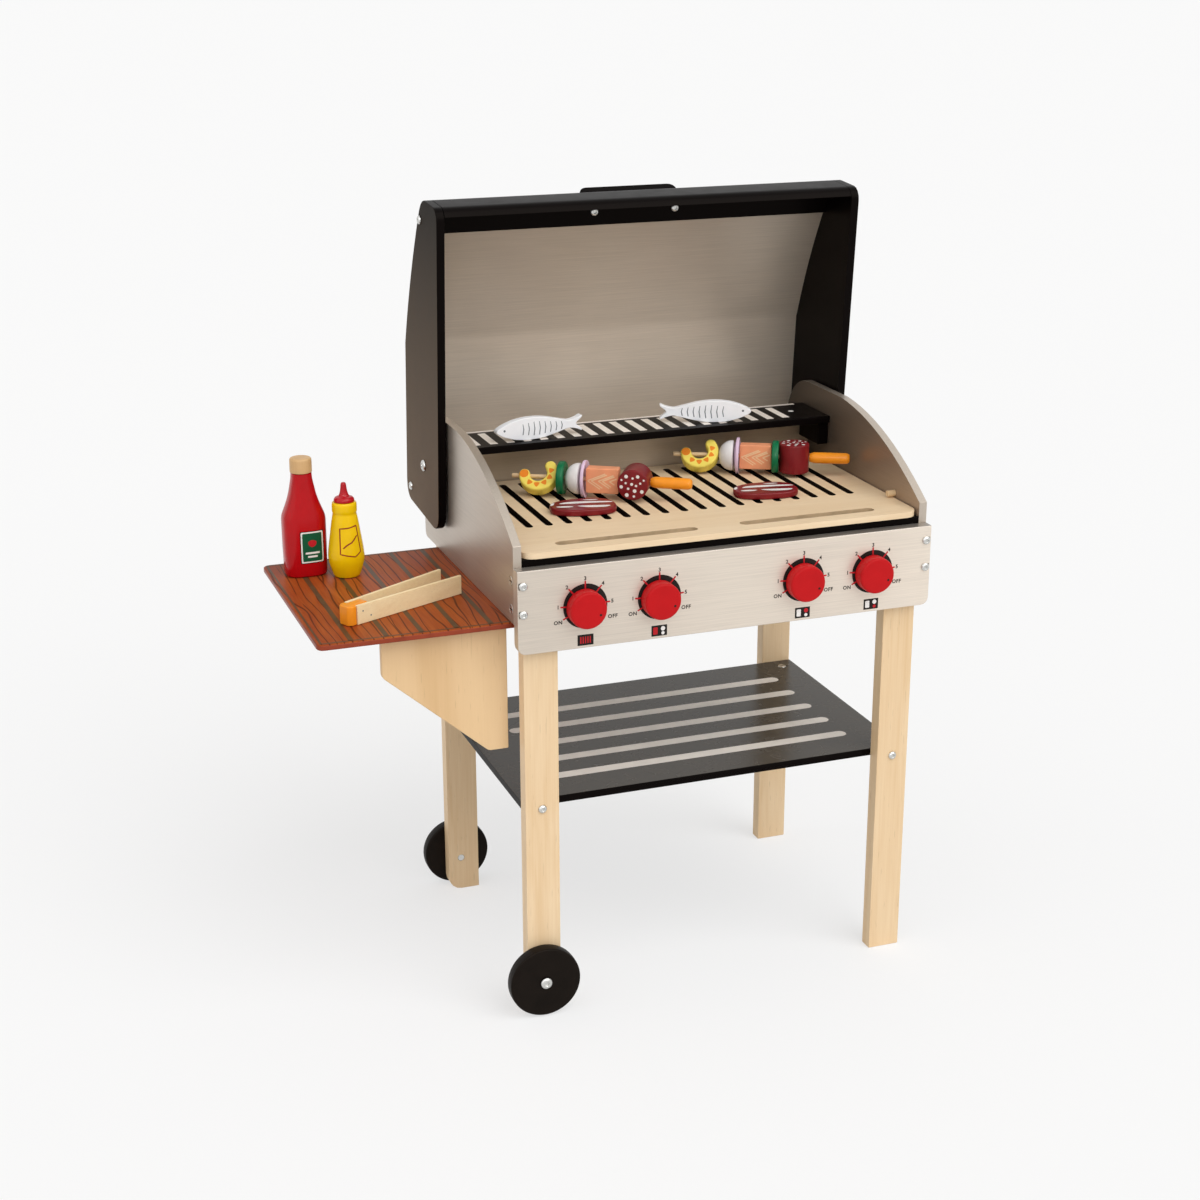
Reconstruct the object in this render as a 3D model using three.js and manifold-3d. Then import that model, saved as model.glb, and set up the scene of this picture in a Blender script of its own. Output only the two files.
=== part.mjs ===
// A child's wooden barbecue grill on legs, with a tilting hood, a side table, a lower shelf, two
// wheels and its play food. Millimetres, +Z up. While the grill is put together, x = 0 is the outer
// face of the left side panel, y = 0 the front of the control panel and z = 0 the floor; the last
// step moves the origin to the middle of the footprint.
import * as THREE from 'three';
import { mergeVertices } from 'three/addons/utils/BufferGeometryUtils.js';
import Module from 'manifold-3d';

const wasm = await Module();
wasm.setup();

// Gaps and cutting allowances
const fit = 0.3;
const overrun = 2;
const weld = 0.0001;

// Fasteners
const boltShank = 4;
const boltBore = 4.8;
const boltHead = 7;
const boltHeadHeight = 2;
const boltSeat = 0.2;
const nutDiameter = 8;
const nutBore = 8.6;

// Control panel
const panelWidth = 366;
const panelHeight = 70;
const panelThickness = 10;
const panelUnderside = 327;
const panelCorner = 6.5;
const panelScrewDrop = 12.5;
const panelScrewSpacing = 23.5;

// Side panels of the firebox
const sideThickness = 7;
const sideHeight = 122.7;
const sideShoulder = 64.7;
const sideDepth = 263;
const sideNose = 152;
const sideRearRadius = 42;
const sideCorner = 6;
const noseBulgeShares = [0.49, 0.89];

// Legs
const legWidth = 29;
const legDepth = 13;
const backLegSetback = 7.8;
const legHeelRadius = 12;
const legScrewRise = 46;

// Firebox floor, grill plate and its pegs
const plateRise = 81;
const plateThickness = 5;
const plateFront = 8.5;
const plateCorner = 11;
const plateSideGap = 0.8;
const plateBackGap = 2.5;
const grateSlots = 18;
const grateSideMargin = 28.36;
const grateSlotWidth = 6.4;
const grateSlotFront = 77;
const grateBackMargin = 11.5;
const gripSideMargin = 32.9;
const gripParting = 38;
const gripWidth = 10;
const gripCentreline = 27.5;
const floorThickness = 8;
const pegDiameter = 6;
const pegReach = 7;
const pegSeat = 4;
const pegFromFront = 55;

// Back panel and rear rack
const backThickness = 7;
const backSetback = 48.3;
const rackRise = 124;
const rackThickness = 6.5;
const rackSetback = 33.3;
const rackDepth = 58;
const cleatWidth = 10;
const cleatHeight = 20;
const cleatSetback = 3;

// Side table and its bracket
const tableRise = 22.5;
const tableThickness = 5;
const tableReach = 157;
const tableFront = 17.5;
const tableSetback = 37.3;
const tableCorner = 6;
const bracketThickness = 6;
const bracketFront = 33;
const bracketWidth = 104;
const bracketEdge = 0.8;
const bracketDrop = 109;
const bracketShort = 34;
const bracketFoot = 17;

// Lower shelf
const shelfTop = 190;
const shelfThickness = 6.5;
const shelfNutInset = 14;

// Wheels
const wheelDiameter = 62;
const wheelThickness = 11;
const wheelLift = 1;
const wheelEdge = 1.5;
const wheelBoltInset = 12;
const wheelGap = 0.8;

// Knobs
const knobDiameter = 31;
const knobThickness = 12;
const knobEdge = 2.5;
const knobGap = 0.8;
const knobInner = 64;
const knobOuter = 127.5;
const knobWeb = 3;

// Hood, drawn about its pivot as it stands open: y runs back from the rim's side and z runs up
const hoodPivotSetback = 37.3;
const hoodPivotRise = 98.3;
const hoodLean = 4.5;
const hoodRim = 45;
const hoodDepth = 105;
const hoodBelow = 48;
const hoodAbove = 235;
const hoodStraight = 96;
const hoodThickness = 7;
const hoodSideGap = 2.3;
const hoodShoulder = 55;
const hoodShoulderDrop = 13;
const hoodCrown = 36;
const hoodRimCorner = 11;
const hoodToeCorner = 16;
const hoodHeelCorner = 14;
const hoodBulgeShares = [0.34, 0.51];
const crownBulgeShare = 0.6;
const frontBoardThickness = 7;
const sheetThickness = 3;
const sheetInset = 7;
const railHeight = 23.7;
const railSetback = 48;
const railInset = 1;
const backBarDepth = 16;
const backBarHeight = 20;
const backBarBelow = 44;
const backBarEdge = 1;
const stopGap = 0.6;
const hoodBoltReach = 14;
const pivotShank = 6;
const pivotBore = 6.8;
const pivotHead = 10;
const pivotCollar = 14;
const collarGap = 0.25;

// Hood handle
const handleLength = 90;
const handleThickness = 14;
const handleReach = 18;
const handleFoot = 16;
const handleBar = 9;
const handleBoltSpacing = 75;
const handleBoltDepth = 6;
const handleCorner = 7;
const handleDrop = 4.5;

// Sauce bottles
const ketchupFromEnd = 31;
const ketchupFromBack = 35;
const ketchupAngle = 2;
const ketchupBody = 50;
const ketchupTaper = 37;
const ketchupWidth = 37;
const ketchupDeep = 27;
const ketchupNeck = 17;
const ketchupSquareness = 3;
const ketchupCapHeight = 15;
const ketchupCapDiameter = 19;
const mustardFromEnd = 63;
const mustardFromBack = 52;
const mustardBelly = 31;
const mustardHeight = 65;
const mustardCap = 18;
const mustardCapHeight = 4;
const mustardNozzle = 12.5;
const mustardTip = 4.4;

// Tongs
const tongsFromSide = 127;
const tongsFromFront = 39.5;
const tongsAngle = 28;
const tongsLength = 118;
const tongsHeight = 16;
const tongsBlade = 2.6;
const tongsBlockLength = 22;
const tongsBlockWidth = 9;
const tongsSpread = 3;

// Play food
const fishLength = 82;
const fishHeight = 19.6;
const fishThickness = 7;
const fishTail = 13;
const fishSoft = 1;
const leftFishFromSide = 84;
const leftFishFromRack = 15;
const leftFishAngle = 7;
const rightFishFromSide = 123;
const rightFishFromRack = 19;
const rightFishAngle = 161;
const steakLength = 60;
const steakWidth = 39;
const steakThickness = 5.6;
const steakSoft = 1.2;
const steakDentShare = 0.1;
const leftSteakFromSide = 93;
const leftSteakFromBack = 117;
const leftSteakAngle = -8;
const rightSteakFromSide = 108;
const rightSteakFromBack = 124;
const rightSteakAngle = -6;
const skewerRod = 4;
const skewerBore = 4.8;
const skewerHandle = 36;
const skewerGrip = 10;
const skewerTip = 7;
const pepperDiameter = 29;
const pepperThickness = 6;
const onionDiameter = 32.4;
const onionThickness = 5;
const mushroomDiameter = 27;
const mushroomDepth = 13;
const salmonLength = 28.5;
const salmonHeight = 22;
const salmonWidth = 11;
const salmonCorner = 1.5;
const salamiDiameter = 26.6;
const salamiHeight = 26;
const salamiEdge = 1;
const prawnRadius = 17;
const prawnBand = 9.5;
const prawnThickness = 11;
const prawnTilt = 45;
const prawnSoft = 1.5;
const prawnStart = 185;
const prawnEnd = 400;
const leftSkewerFromSide = 54;
const leftSkewerFromBack = 44.3;
const leftSkewerAngle = -31.4;
const rightSkewerFromSide = 153.8;
const rightSkewerFromBack = 25;
const rightSkewerAngle = -27.2;

// Steps along arcs and round turned pieces
const arcSteps = 4;
const slotSteps = 3;
const curveSteps = 12;
const boltSides = 8;
const nutSides = 12;
const turnedSides = 20;
const wheelSides = 36;

// Finishes
const birch = { color: 0xe9cfa0, roughness: 0.6, metalness: 0 };
const plywood = { color: 0xe2c08a, roughness: 0.6, metalness: 0 };
const silverPaint = { color: 0xb4aea3, roughness: 0.35, metalness: 0.6 };
const hoodPaint = { color: 0xa69d8f, roughness: 0.3, metalness: 0.7 };
const blackPaint = { color: 0x1c1a1a, roughness: 0.35, metalness: 0 };
const shelfPaint = { color: 0x3b3835, roughness: 0.45, metalness: 0 };
const redwood = { color: 0x7d3420, roughness: 0.5, metalness: 0 };
const zinc = { color: 0xc9c9c6, roughness: 0.3, metalness: 1 };
const knobRed = { color: 0xc3161c, roughness: 0.45, metalness: 0 };
const ketchupRed = { color: 0xc01019, roughness: 0.35, metalness: 0 };
const mustardYellow = { color: 0xf3c60c, roughness: 0.35, metalness: 0 };
const capRed = { color: 0xb5141c, roughness: 0.4, metalness: 0 };
const orange = { color: 0xf08a1c, roughness: 0.45, metalness: 0 };
const fishWhite = { color: 0xf1f1f0, roughness: 0.4, metalness: 0 };
const steakRed = { color: 0x86181c, roughness: 0.45, metalness: 0 };
const prawnYellow = { color: 0xead04e, roughness: 0.5, metalness: 0 };
const pepperGreen = { color: 0x16794a, roughness: 0.4, metalness: 0 };
const mushroomWhite = { color: 0xe6e2db, roughness: 0.45, metalness: 0 };
const onionLilac = { color: 0xd3b8dc, roughness: 0.45, metalness: 0 };
const salmonPink = { color: 0xeb8f64, roughness: 0.5, metalness: 0 };
const salamiRed = { color: 0x8a1a1c, roughness: 0.4, metalness: 0 };

// Levels and lines worked out from the sizes above
const tau = Math.PI * 2;
const panelTop = panelUnderside + panelHeight;
const tableTop = panelUnderside + tableRise;
const sideUnderside = tableTop + fit;
const sideFront = panelThickness + fit;
const sideBack = sideFront + sideDepth;
const innerLeft = sideThickness + fit;
const innerRight = panelWidth - innerLeft;
const middle = panelWidth / 2;
const backLegRear = sideBack - backLegSetback;
const legBackY = backLegRear - legDepth;
const plateTop = panelUnderside + plateRise;
const floorTop = plateTop - plateThickness - fit;
const legLength = floorTop - floorThickness - fit;
const backFront = sideBack - backSetback;
const plateEdge = innerLeft + plateSideGap;
const plateWidth = panelWidth - plateEdge * 2;
const plateDepth = backFront - plateBackGap - plateFront;
const rackTop = panelUnderside + rackRise;
const rackFront = sideBack - rackSetback - rackDepth;
const rackUnderside = rackTop - rackThickness;
const shelfUnderside = shelfTop - shelfThickness;
const shelfMiddle = shelfTop - shelfThickness / 2;
const shelfFront = sideFront + legDepth + fit;
const shelfBack = legBackY - fit;
const tableBack = sideBack - tableSetback;
const hoodPivotY = sideBack - hoodPivotSetback;
const hoodPivotZ = panelUnderside + hoodPivotRise;
const wheelZ = wheelDiameter / 2 + wheelLift;
const right = new THREE.Vector3(1, 0, 0);
const left = right.clone().negate();
const backward = new THREE.Vector3(0, 1, 0);
const forward = backward.clone().negate();
const up = new THREE.Vector3(0, 0, 1);
const down = up.clone().negate();

// Outlines

// The arc that rounds the corner between two straight edges.
function rounded(before, corner, after, radius, steps = arcSteps) {
  const at = new THREE.Vector2(...corner);
  const toBefore = new THREE.Vector2(...before).sub(at).normalize();
  const toAfter = new THREE.Vector2(...after).sub(at).normalize();
  const half = Math.acos(toBefore.dot(toAfter)) / 2;
  const bisector = toBefore.clone().add(toAfter).normalize();
  const centre = bisector.multiplyScalar(radius / Math.sin(half)).add(at);
  const start = at.clone().addScaledVector(toBefore, radius / Math.tan(half)).sub(centre);
  const sweep = Math.sign(toAfter.cross(toBefore)) * (Math.PI - half * 2);
  return Array.from({ length: steps + 1 }, (_, step) => (
    start.clone().rotateAround(new THREE.Vector2(), sweep * step / steps).add(centre)
  ));
}

// A closed outline from corners given as [x, y, radius], a missing radius leaving the corner sharp.
function filleted(corners, steps = arcSteps) {
  return corners.flatMap(([x, y, radius = 0], index) => {
    if (radius === 0) {
      return [new THREE.Vector2(x, y)];
    }
    const before = corners.at(index - 1).slice(0, 2);
    const after = corners[(index + 1) % corners.length].slice(0, 2);
    return rounded(before, [x, y], after, radius, steps);
  });
}

function rectangle(x0, y0, x1, y1, radius = 0, steps = arcSteps) {
  return filleted([[x0, y0, radius], [x1, y0, radius], [x1, y1, radius], [x0, y1, radius]], steps);
}

// A slot with round ends, given by its centre and its size along x and y.
function slot(cx, cy, alongX, alongY) {
  const radius = Math.min(alongX, alongY) / 2 - weld;
  return rectangle(cx - alongX / 2, cy - alongY / 2, cx + alongX / 2, cy + alongY / 2, radius, slotSteps);
}

function curve(...points) {
  const bend = new THREE.QuadraticBezierCurve(...points.map((spot) => new THREE.Vector2(...spot)));
  return bend.getPoints(curveSteps);
}

function arc(cx, cy, radius, from, to, steps = curveSteps) {
  return Array.from({ length: steps + 1 }, (_, step) => {
    const angle = from + (to - from) * step / steps;
    return new THREE.Vector2(cx + radius * Math.cos(angle), cy + radius * Math.sin(angle));
  });
}

// Moves each point of an open line to its left by a distance.
function offset(line, distance) {
  return line.map((here, index) => {
    const before = line[Math.max(index - 1, 0)];
    const after = line[Math.min(index + 1, line.length - 1)];
    const along = after.clone().sub(before).normalize();
    return new THREE.Vector2(here.x - along.y * distance, here.y + along.x * distance);
  });
}

// The stretch of a rising open line between two heights.
function between(line, low, high) {
  const at = (height) => {
    const next = line.findIndex((spot) => spot.y > height);
    const [start, end] = line.slice(next - 1, next + 1);
    return start.clone().lerp(end, (height - start.y) / (end.y - start.y));
  };
  return [at(low), ...line.filter((spot) => spot.y > low && spot.y < high), at(high)];
}

// Solids

function extruded(outline, depth, holes = []) {
  const shape = new THREE.Shape(outline);
  shape.holes = holes.map((hole) => new THREE.Path(hole));
  return new THREE.ExtrudeGeometry(shape, { depth, bevelEnabled: false });
}

// An extrusion standing on z = 0 whose upper and lower edges are rounded over.
function softened(outline, depth, soft, bevelSegments) {
  const options = {
    depth: depth - soft * 2,
    bevelThickness: soft,
    bevelSize: soft,
    bevelOffset: -soft,
    bevelSegments,
  };
  return new THREE.ExtrudeGeometry(new THREE.Shape(outline), options).translate(0, 0, soft);
}

// A board lying flat, with its outline in x and y.
function flatBoard(outline, z, thickness, holes) {
  return extruded(outline, thickness, holes).translate(0, 0, z);
}

// A board standing across the grill, with its outline in x and z.
function frontBoard(outline, y, thickness) {
  const upright = new THREE.Matrix4().makeBasis(right, up, forward);
  return extruded(outline, thickness).applyMatrix4(upright).translate(0, y + thickness, 0);
}

// A board or bar whose outline, in y and z, runs on along x.
function sideBoard(outline, x, thickness) {
  const upright = new THREE.Matrix4().makeBasis(backward, up, right);
  return extruded(outline, thickness).applyMatrix4(upright).translate(x, 0, 0);
}

// Revolves [radius, height] pairs about an axis that starts at the origin.
function turned(profile, direction, sides = turnedSides) {
  const outline = profile.map(([radius, height]) => new THREE.Vector2(radius, height));
  const turn = new THREE.Quaternion().setFromUnitVectors(backward, direction);
  return new THREE.LatheGeometry(outline, sides).applyQuaternion(turn);
}

function rod(diameter, from, to, sides = boltSides) {
  const length = from.distanceTo(to);
  const radius = diameter / 2;
  const direction = to.clone().sub(from).normalize();
  const profile = [[0, 0], [radius, 0], [radius, length], [0, length]];
  return turned(profile, direction, sides).translate(...from);
}

// A hole drilled from a face, starting a little in front of it.
function bore(at, direction, length, diameter = boltBore, sides = boltSides) {
  const from = at.clone().addScaledVector(direction, -overrun);
  return rod(diameter, from, at.clone().addScaledVector(direction, length), sides);
}

// The profile of a domed bolt head whose underside is at the given height.
function domedHead(head, underside) {
  const domeShares = [[0, 1], [0.62, 1], [0.92, 0.6], [1, 0]];
  return domeShares.map(([radiusShare, heightShare]) => [
    head / 2 * radiusShare,
    underside - boltHeadHeight * heightShare,
  ]);
}

// A bolt bedded a little into the face it clamps, so that it is one with that board.
function bolt(at, direction, length) {
  const radius = boltShank / 2;
  const shank = [[boltHead / 2, boltSeat], [radius, boltSeat], [radius, length], [0, length]];
  return turned([...domedHead(boltHead, 0), ...shank], direction, boltSides).translate(...at);
}

function solidFrom(geometry) {
  const plain = geometry.clone();
  plain.deleteAttribute('normal');
  plain.deleteAttribute('uv');
  const merged = mergeVertices(plain, weld);
  const corners = Array.from(merged.index.array);
  const faces = corners.filter((_, index) => {
    const [a, b, c] = corners.slice(index - index % 3, index - index % 3 + 3);
    return a !== b && b !== c && c !== a;
  });
  const vertProperties = merged.attributes.position.array;
  const triVerts = Uint32Array.from(faces);
  return new wasm.Manifold(new wasm.Mesh({ numProp: 3, vertProperties, triVerts }));
}

function geometryFrom(solid) {
  const mesh = solid.getMesh();
  const geometry = new THREE.BufferGeometry();
  geometry.setAttribute('position', new THREE.BufferAttribute(mesh.vertProperties, 3));
  geometry.setIndex(new THREE.BufferAttribute(mesh.triVerts, 1));
  const faceted = geometry.toNonIndexed();
  faceted.computeVertexNormals();
  return faceted;
}

// Cuts the tools out of a piece, then joins on what is fixed to it for good.
function worked(geometry, tools, fixed = []) {
  const holed = tools.reduce((solid, tool) => solid.subtract(solidFrom(tool)), solidFrom(geometry));
  return geometryFrom(fixed.reduce((solid, extra) => solid.add(solidFrom(extra)), holed));
}

function piece(parent, name, geometry, finish) {
  const mesh = new THREE.Mesh(geometry, new THREE.MeshStandardMaterial(finish));
  mesh.name = name;
  parent.add(mesh);
}

function point(x, y, z) {
  return new THREE.Vector3(x, y, z);
}

// Fastener places that two or more pieces share

const panelScrewHeights = [panelTop - panelScrewDrop, panelTop - panelScrewDrop - panelScrewSpacing];
const sideMiddles = [sideThickness / 2, panelWidth - sideThickness / 2];
const panelNutY = sideFront + sideThickness;
const knobSpots = [-knobOuter, -knobInner, knobInner, knobOuter].map((fromMiddle) => (
  point(middle + fromMiddle, 0, panelUnderside + panelHeight / 2)
));
const legXs = [innerLeft, innerRight - legWidth];
const legYs = [sideFront, legBackY];
const legScrewZ = panelUnderside + legScrewRise;
const legScrewReach = legWidth + fit + sideThickness / 2;
const wheelBoltX = innerLeft + wheelBoltInset;
const pegZ = plateTop + fit + pegDiameter / 2;

// Frame: four legs, firebox, rack, table and shelf

// A leg with its bolt into the side panel and its bolt and barrel nut into the shelf.
function leg(x, y) {
  const onLeft = x === innerLeft;
  const atFront = y === sideFront;
  const heel = onLeft ? legHeelRadius : 0;
  const board = filleted([[x, 0, heel], [x + legWidth, 0], [x + legWidth, legLength], [x, legLength]]);
  const centreX = x + legWidth / 2;
  const faceY = atFront ? y : y + legDepth;
  const inward = atFront ? backward : forward;
  const nutY = atFront ? shelfFront + shelfNutInset : shelfBack - shelfNutInset;
  const innerX = onLeft ? x + legWidth : x;
  const fixed = [
    bolt(point(centreX, faceY, shelfMiddle), inward, Math.abs(nutY - faceY)),
    rod(nutDiameter, point(centreX, nutY, shelfUnderside), point(centreX, nutY, shelfTop), nutSides),
    bolt(point(innerX, y + legDepth / 2, legScrewZ), onLeft ? left : right, legScrewReach),
  ];
  const axleHole = bore(point(wheelBoltX, faceY, wheelZ), inward, legDepth + overrun, pivotBore);
  return worked(frontBoard(board, y, legDepth), onLeft ? [axleHole] : [], fixed);
}

function addLegs(grill) {
  const names = [['front_left_leg', 'front_right_leg'], ['back_left_leg', 'back_right_leg']];
  legYs.forEach((y, row) => legXs.forEach((x, column) => {
    piece(grill, names[row][column], leg(x, y), birch);
  }));
}

function sidePanel(x) {
  const top = sideUnderside + sideHeight;
  const shoulder = [sideFront, sideUnderside + sideShoulder];
  const noseTop = [sideFront + sideNose, top];
  const [alongShare, upShare] = noseBulgeShares;
  const bulge = [sideFront + sideNose * alongShare, shoulder[1] + (top - shoulder[1]) * upShare];
  const frontFoot = [sideFront, sideUnderside];
  const outline = [
    new THREE.Vector2(...frontFoot),
    ...rounded(frontFoot, [sideBack, sideUnderside], [sideBack, top], sideCorner),
    ...arc(sideBack - sideRearRadius, top - sideRearRadius, sideRearRadius, 0, tau / 4),
    ...curve(noseTop, bulge, shoulder),
  ];
  const onLeft = x === 0;
  const innerFace = onLeft ? x + sideThickness : x;
  const outward = onLeft ? left : right;
  const inside = (y, z) => point(innerFace, y, z);
  const centreX = x + sideThickness / 2;
  const through = sideThickness + overrun;
  const tools = [
    ...panelScrewHeights.flatMap((z) => [
      bore(point(centreX, sideFront, z), backward, sideThickness + nutBore / 2),
      bore(inside(panelNutY, z), outward, through, nutBore, nutSides),
    ]),
    ...legYs.map((y) => bore(inside(y + legDepth / 2, legScrewZ), outward, sideThickness / 2 + fit * 2)),
    bore(inside(hoodPivotY, hoodPivotZ), outward, through, pivotBore, nutSides),
    bore(inside(pegFromFront, pegZ), outward, pegSeat, pegDiameter + fit * 2, nutSides),
  ];
  return worked(sideBoard(outline, x, sideThickness), tools);
}

// The panel carries its four corner bolts with their barrel nuts, and an axle for each knob.
function controlPanel() {
  const outline = filleted([
    [0, panelUnderside, panelCorner],
    [panelWidth, panelUnderside, panelCorner],
    [panelWidth, panelTop],
    [0, panelTop],
  ]);
  const half = sideThickness / 2;
  const cornerBolts = sideMiddles.flatMap((x) => panelScrewHeights.flatMap((z) => [
    bolt(point(x, 0, z), backward, panelNutY),
    rod(nutDiameter, point(x - half, panelNutY, z), point(x + half, panelNutY, z), nutSides),
  ]));
  const axleLength = panelThickness + knobGap + knobThickness - knobWeb - fit;
  const axles = knobSpots.map(({ x, z }) => bolt(point(x, panelThickness, z), forward, axleLength));
  return worked(frontBoard(outline, 0, panelThickness), [], [...cornerBolts, ...axles]);
}

// The plate rests on the firebox floor: a grate of long slots behind two finger grips.
function grillPlate() {
  const plateBack = plateFront + plateDepth;
  const outline = rectangle(plateEdge, plateFront, panelWidth - plateEdge, plateBack, plateCorner);
  const slotLength = plateBack - grateBackMargin - grateSlotFront;
  const slotY = grateSlotFront + slotLength / 2;
  const pitch = (plateWidth - grateSideMargin * 2) / (grateSlots - 1);
  const slots = Array.from({ length: grateSlots }, (_, index) => (
    slot(plateEdge + grateSideMargin + pitch * index, slotY, grateSlotWidth, slotLength)
  ));
  const gripLength = (plateWidth - gripSideMargin * 2 - gripParting) / 2;
  const gripOffset = (gripParting + gripLength) / 2;
  const grips = [middle - gripOffset, middle + gripOffset].map((x) => (
    slot(x, gripCentreline, gripLength, gripWidth)
  ));
  return flatBoard(outline, plateTop - plateThickness, plateThickness, [...slots, ...grips]);
}

function addFirebox(grill) {
  piece(grill, 'control_panel', controlPanel(), silverPaint);
  piece(grill, 'left_side_panel', sidePanel(0), silverPaint);
  piece(grill, 'right_side_panel', sidePanel(panelWidth - sideThickness), silverPaint);
  const backOutline = rectangle(innerLeft, sideUnderside, innerRight, rackUnderside - fit);
  piece(grill, 'back_panel', frontBoard(backOutline, backFront, backThickness), silverPaint);
  const floorOutline = rectangle(innerLeft, sideFront, innerRight, backFront - fit);
  const floor = flatBoard(floorOutline, floorTop - floorThickness, floorThickness);
  piece(grill, 'firebox_floor', floor, blackPaint);
  piece(grill, 'grill_plate', grillPlate(), birch);
  const pegLength = pegSeat - fit + pegReach;
  const leftPeg = rod(pegDiameter, point(0, 0, 0), point(pegLength, 0, 0), nutSides);
  const rightPeg = leftPeg.clone();
  const pegRoot = sideThickness - pegSeat + fit;
  piece(grill, 'left_plate_peg', leftPeg.translate(pegRoot, pegFromFront, pegZ), birch);
  const rightRoot = panelWidth - pegRoot - pegLength;
  piece(grill, 'right_plate_peg', rightPeg.translate(rightRoot, pegFromFront, pegZ), birch);
}

function addRack(grill) {
  const outline = rectangle(innerLeft, rackFront, innerRight, rackFront + rackDepth);
  piece(grill, 'rear_rack', flatBoard(outline, rackUnderside, rackThickness), blackPaint);
  const cleatBase = rackUnderside - fit - cleatHeight;
  const ends = { left_rack_cleat: innerLeft, right_rack_cleat: innerRight - cleatWidth };
  Object.entries(ends).forEach(([name, x]) => {
    const foot = rectangle(x, rackFront + cleatSetback, x + cleatWidth, backFront - fit);
    piece(grill, name, flatBoard(foot, cleatBase, cleatHeight), blackPaint);
  });
}

function addTable(grill) {
  const tableOutline = filleted([
    [-tableReach, tableFront, tableCorner],
    [sideThickness, tableFront],
    [sideThickness, tableBack],
    [-tableReach, tableBack, tableCorner],
  ]);
  const tableUnderside = tableTop - tableThickness;
  piece(grill, 'side_table', flatBoard(tableOutline, tableUnderside, tableThickness), redwood);
  const top = tableUnderside - fit;
  const outer = bracketEdge - bracketWidth;
  const bracketOutline = filleted([
    [bracketEdge, top - bracketDrop],
    [bracketEdge, top],
    [outer, top],
    [outer, top - bracketShort, panelCorner],
    [bracketEdge - bracketFoot, top - bracketDrop, panelCorner],
  ]);
  piece(grill, 'table_bracket', frontBoard(bracketOutline, bracketFront, bracketThickness), plywood);
}

function addShelf(grill) {
  const outline = rectangle(innerLeft, shelfFront, innerRight, shelfBack);
  const holes = legXs.map((x) => x + legWidth / 2).flatMap((x) => [
    bore(point(x, shelfFront + shelfNutInset, shelfTop), down, shelfThickness + overrun, nutBore, nutSides),
    bore(point(x, shelfBack - shelfNutInset, shelfTop), down, shelfThickness + overrun, nutBore, nutSides),
    bore(point(x, shelfFront, shelfMiddle), backward, shelfNutInset),
    bore(point(x, shelfBack, shelfMiddle), forward, shelfNutInset),
  ]);
  const board = flatBoard(outline, shelfUnderside, shelfThickness);
  piece(grill, 'lower_shelf', worked(board, holes), shelfPaint);
}

// Turning parts

function wheel() {
  const radius = wheelDiameter / 2;
  const hole = pivotBore / 2;
  return turned([
    [hole, 0],
    [radius - wheelEdge, 0],
    [radius, wheelEdge],
    [radius, wheelThickness - wheelEdge],
    [radius - wheelEdge, wheelThickness],
    [hole, wheelThickness],
    [hole, 0],
  ], backward, wheelSides);
}

function addWheels(grill) {
  const reach = wheelGap + wheelThickness + wheelGap;
  const radius = pivotShank / 2;
  const shank = [[radius, 0], [radius, reach + legDepth], [0, reach + legDepth]];
  const axle = (direction) => turned([...domedHead(pivotHead, 0), ...shank], direction, nutSides);
  const frontWheelY = sideFront - wheelGap - wheelThickness;
  piece(grill, 'front_wheel', wheel().translate(wheelBoltX, frontWheelY, wheelZ), blackPaint);
  piece(grill, 'front_axle', axle(backward).translate(wheelBoltX, sideFront - reach, wheelZ), zinc);
  piece(grill, 'back_wheel', wheel().translate(wheelBoltX, backLegRear + wheelGap, wheelZ), blackPaint);
  piece(grill, 'back_axle', axle(forward).translate(wheelBoltX, backLegRear + reach, wheelZ), zinc);
}

// A knob with a blind hole for its axle.
function knob() {
  const radius = knobDiameter / 2;
  const hole = boltBore / 2;
  const face = knobGap + knobThickness;
  const edge = knobEdge * (1 - Math.SQRT1_2);
  return turned([
    [hole, knobGap],
    [radius, knobGap],
    [radius, face - knobEdge],
    [radius - edge, face - edge],
    [radius - knobEdge, face],
    [0, face],
    [0, face - knobWeb],
    [hole, face - knobWeb],
    [hole, knobGap],
  ], forward);
}

function addKnobs(grill) {
  const names = ['left_outer_knob', 'left_inner_knob', 'right_inner_knob', 'right_outer_knob'];
  knobSpots.forEach(({ x, z }, index) => {
    piece(grill, names[index], knob().translate(x, 0, z), knobRed);
  });
}

// Hood: two side panels with a front board, a rail, a bent sheet and a back bar between them

const rimY = -hoodRim;
const hoodBackY = hoodDepth - hoodRim;
const shoulderSpot = [hoodShoulder - hoodRim, hoodAbove - hoodShoulderDrop];
const crownSpot = [hoodCrown - hoodRim, hoodAbove];
const lean = THREE.MathUtils.degToRad(hoodLean);
const boardFoot = hoodAbove - frontBoardThickness;
const railTop = boardFoot - fit;
const railFoot = railTop - railHeight;
const railFace = railSetback - hoodRim;
const railMiddle = (railTop + railFoot) / 2;
const railBolt = [railFace + boltBore * 0.8, railMiddle];
const backBarTop = backBarHeight - backBarBelow;
const stopLine = sideBack + stopGap - hoodPivotY;
const backBarY = (stopLine + backBarTop * Math.sin(lean)) / Math.cos(lean);
const backBarBolt = [backBarY + backBarDepth / 2, backBarTop - backBarHeight / 2];
const handleBoltXs = [middle - handleBoltSpacing / 2, middle + handleBoltSpacing / 2];

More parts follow.
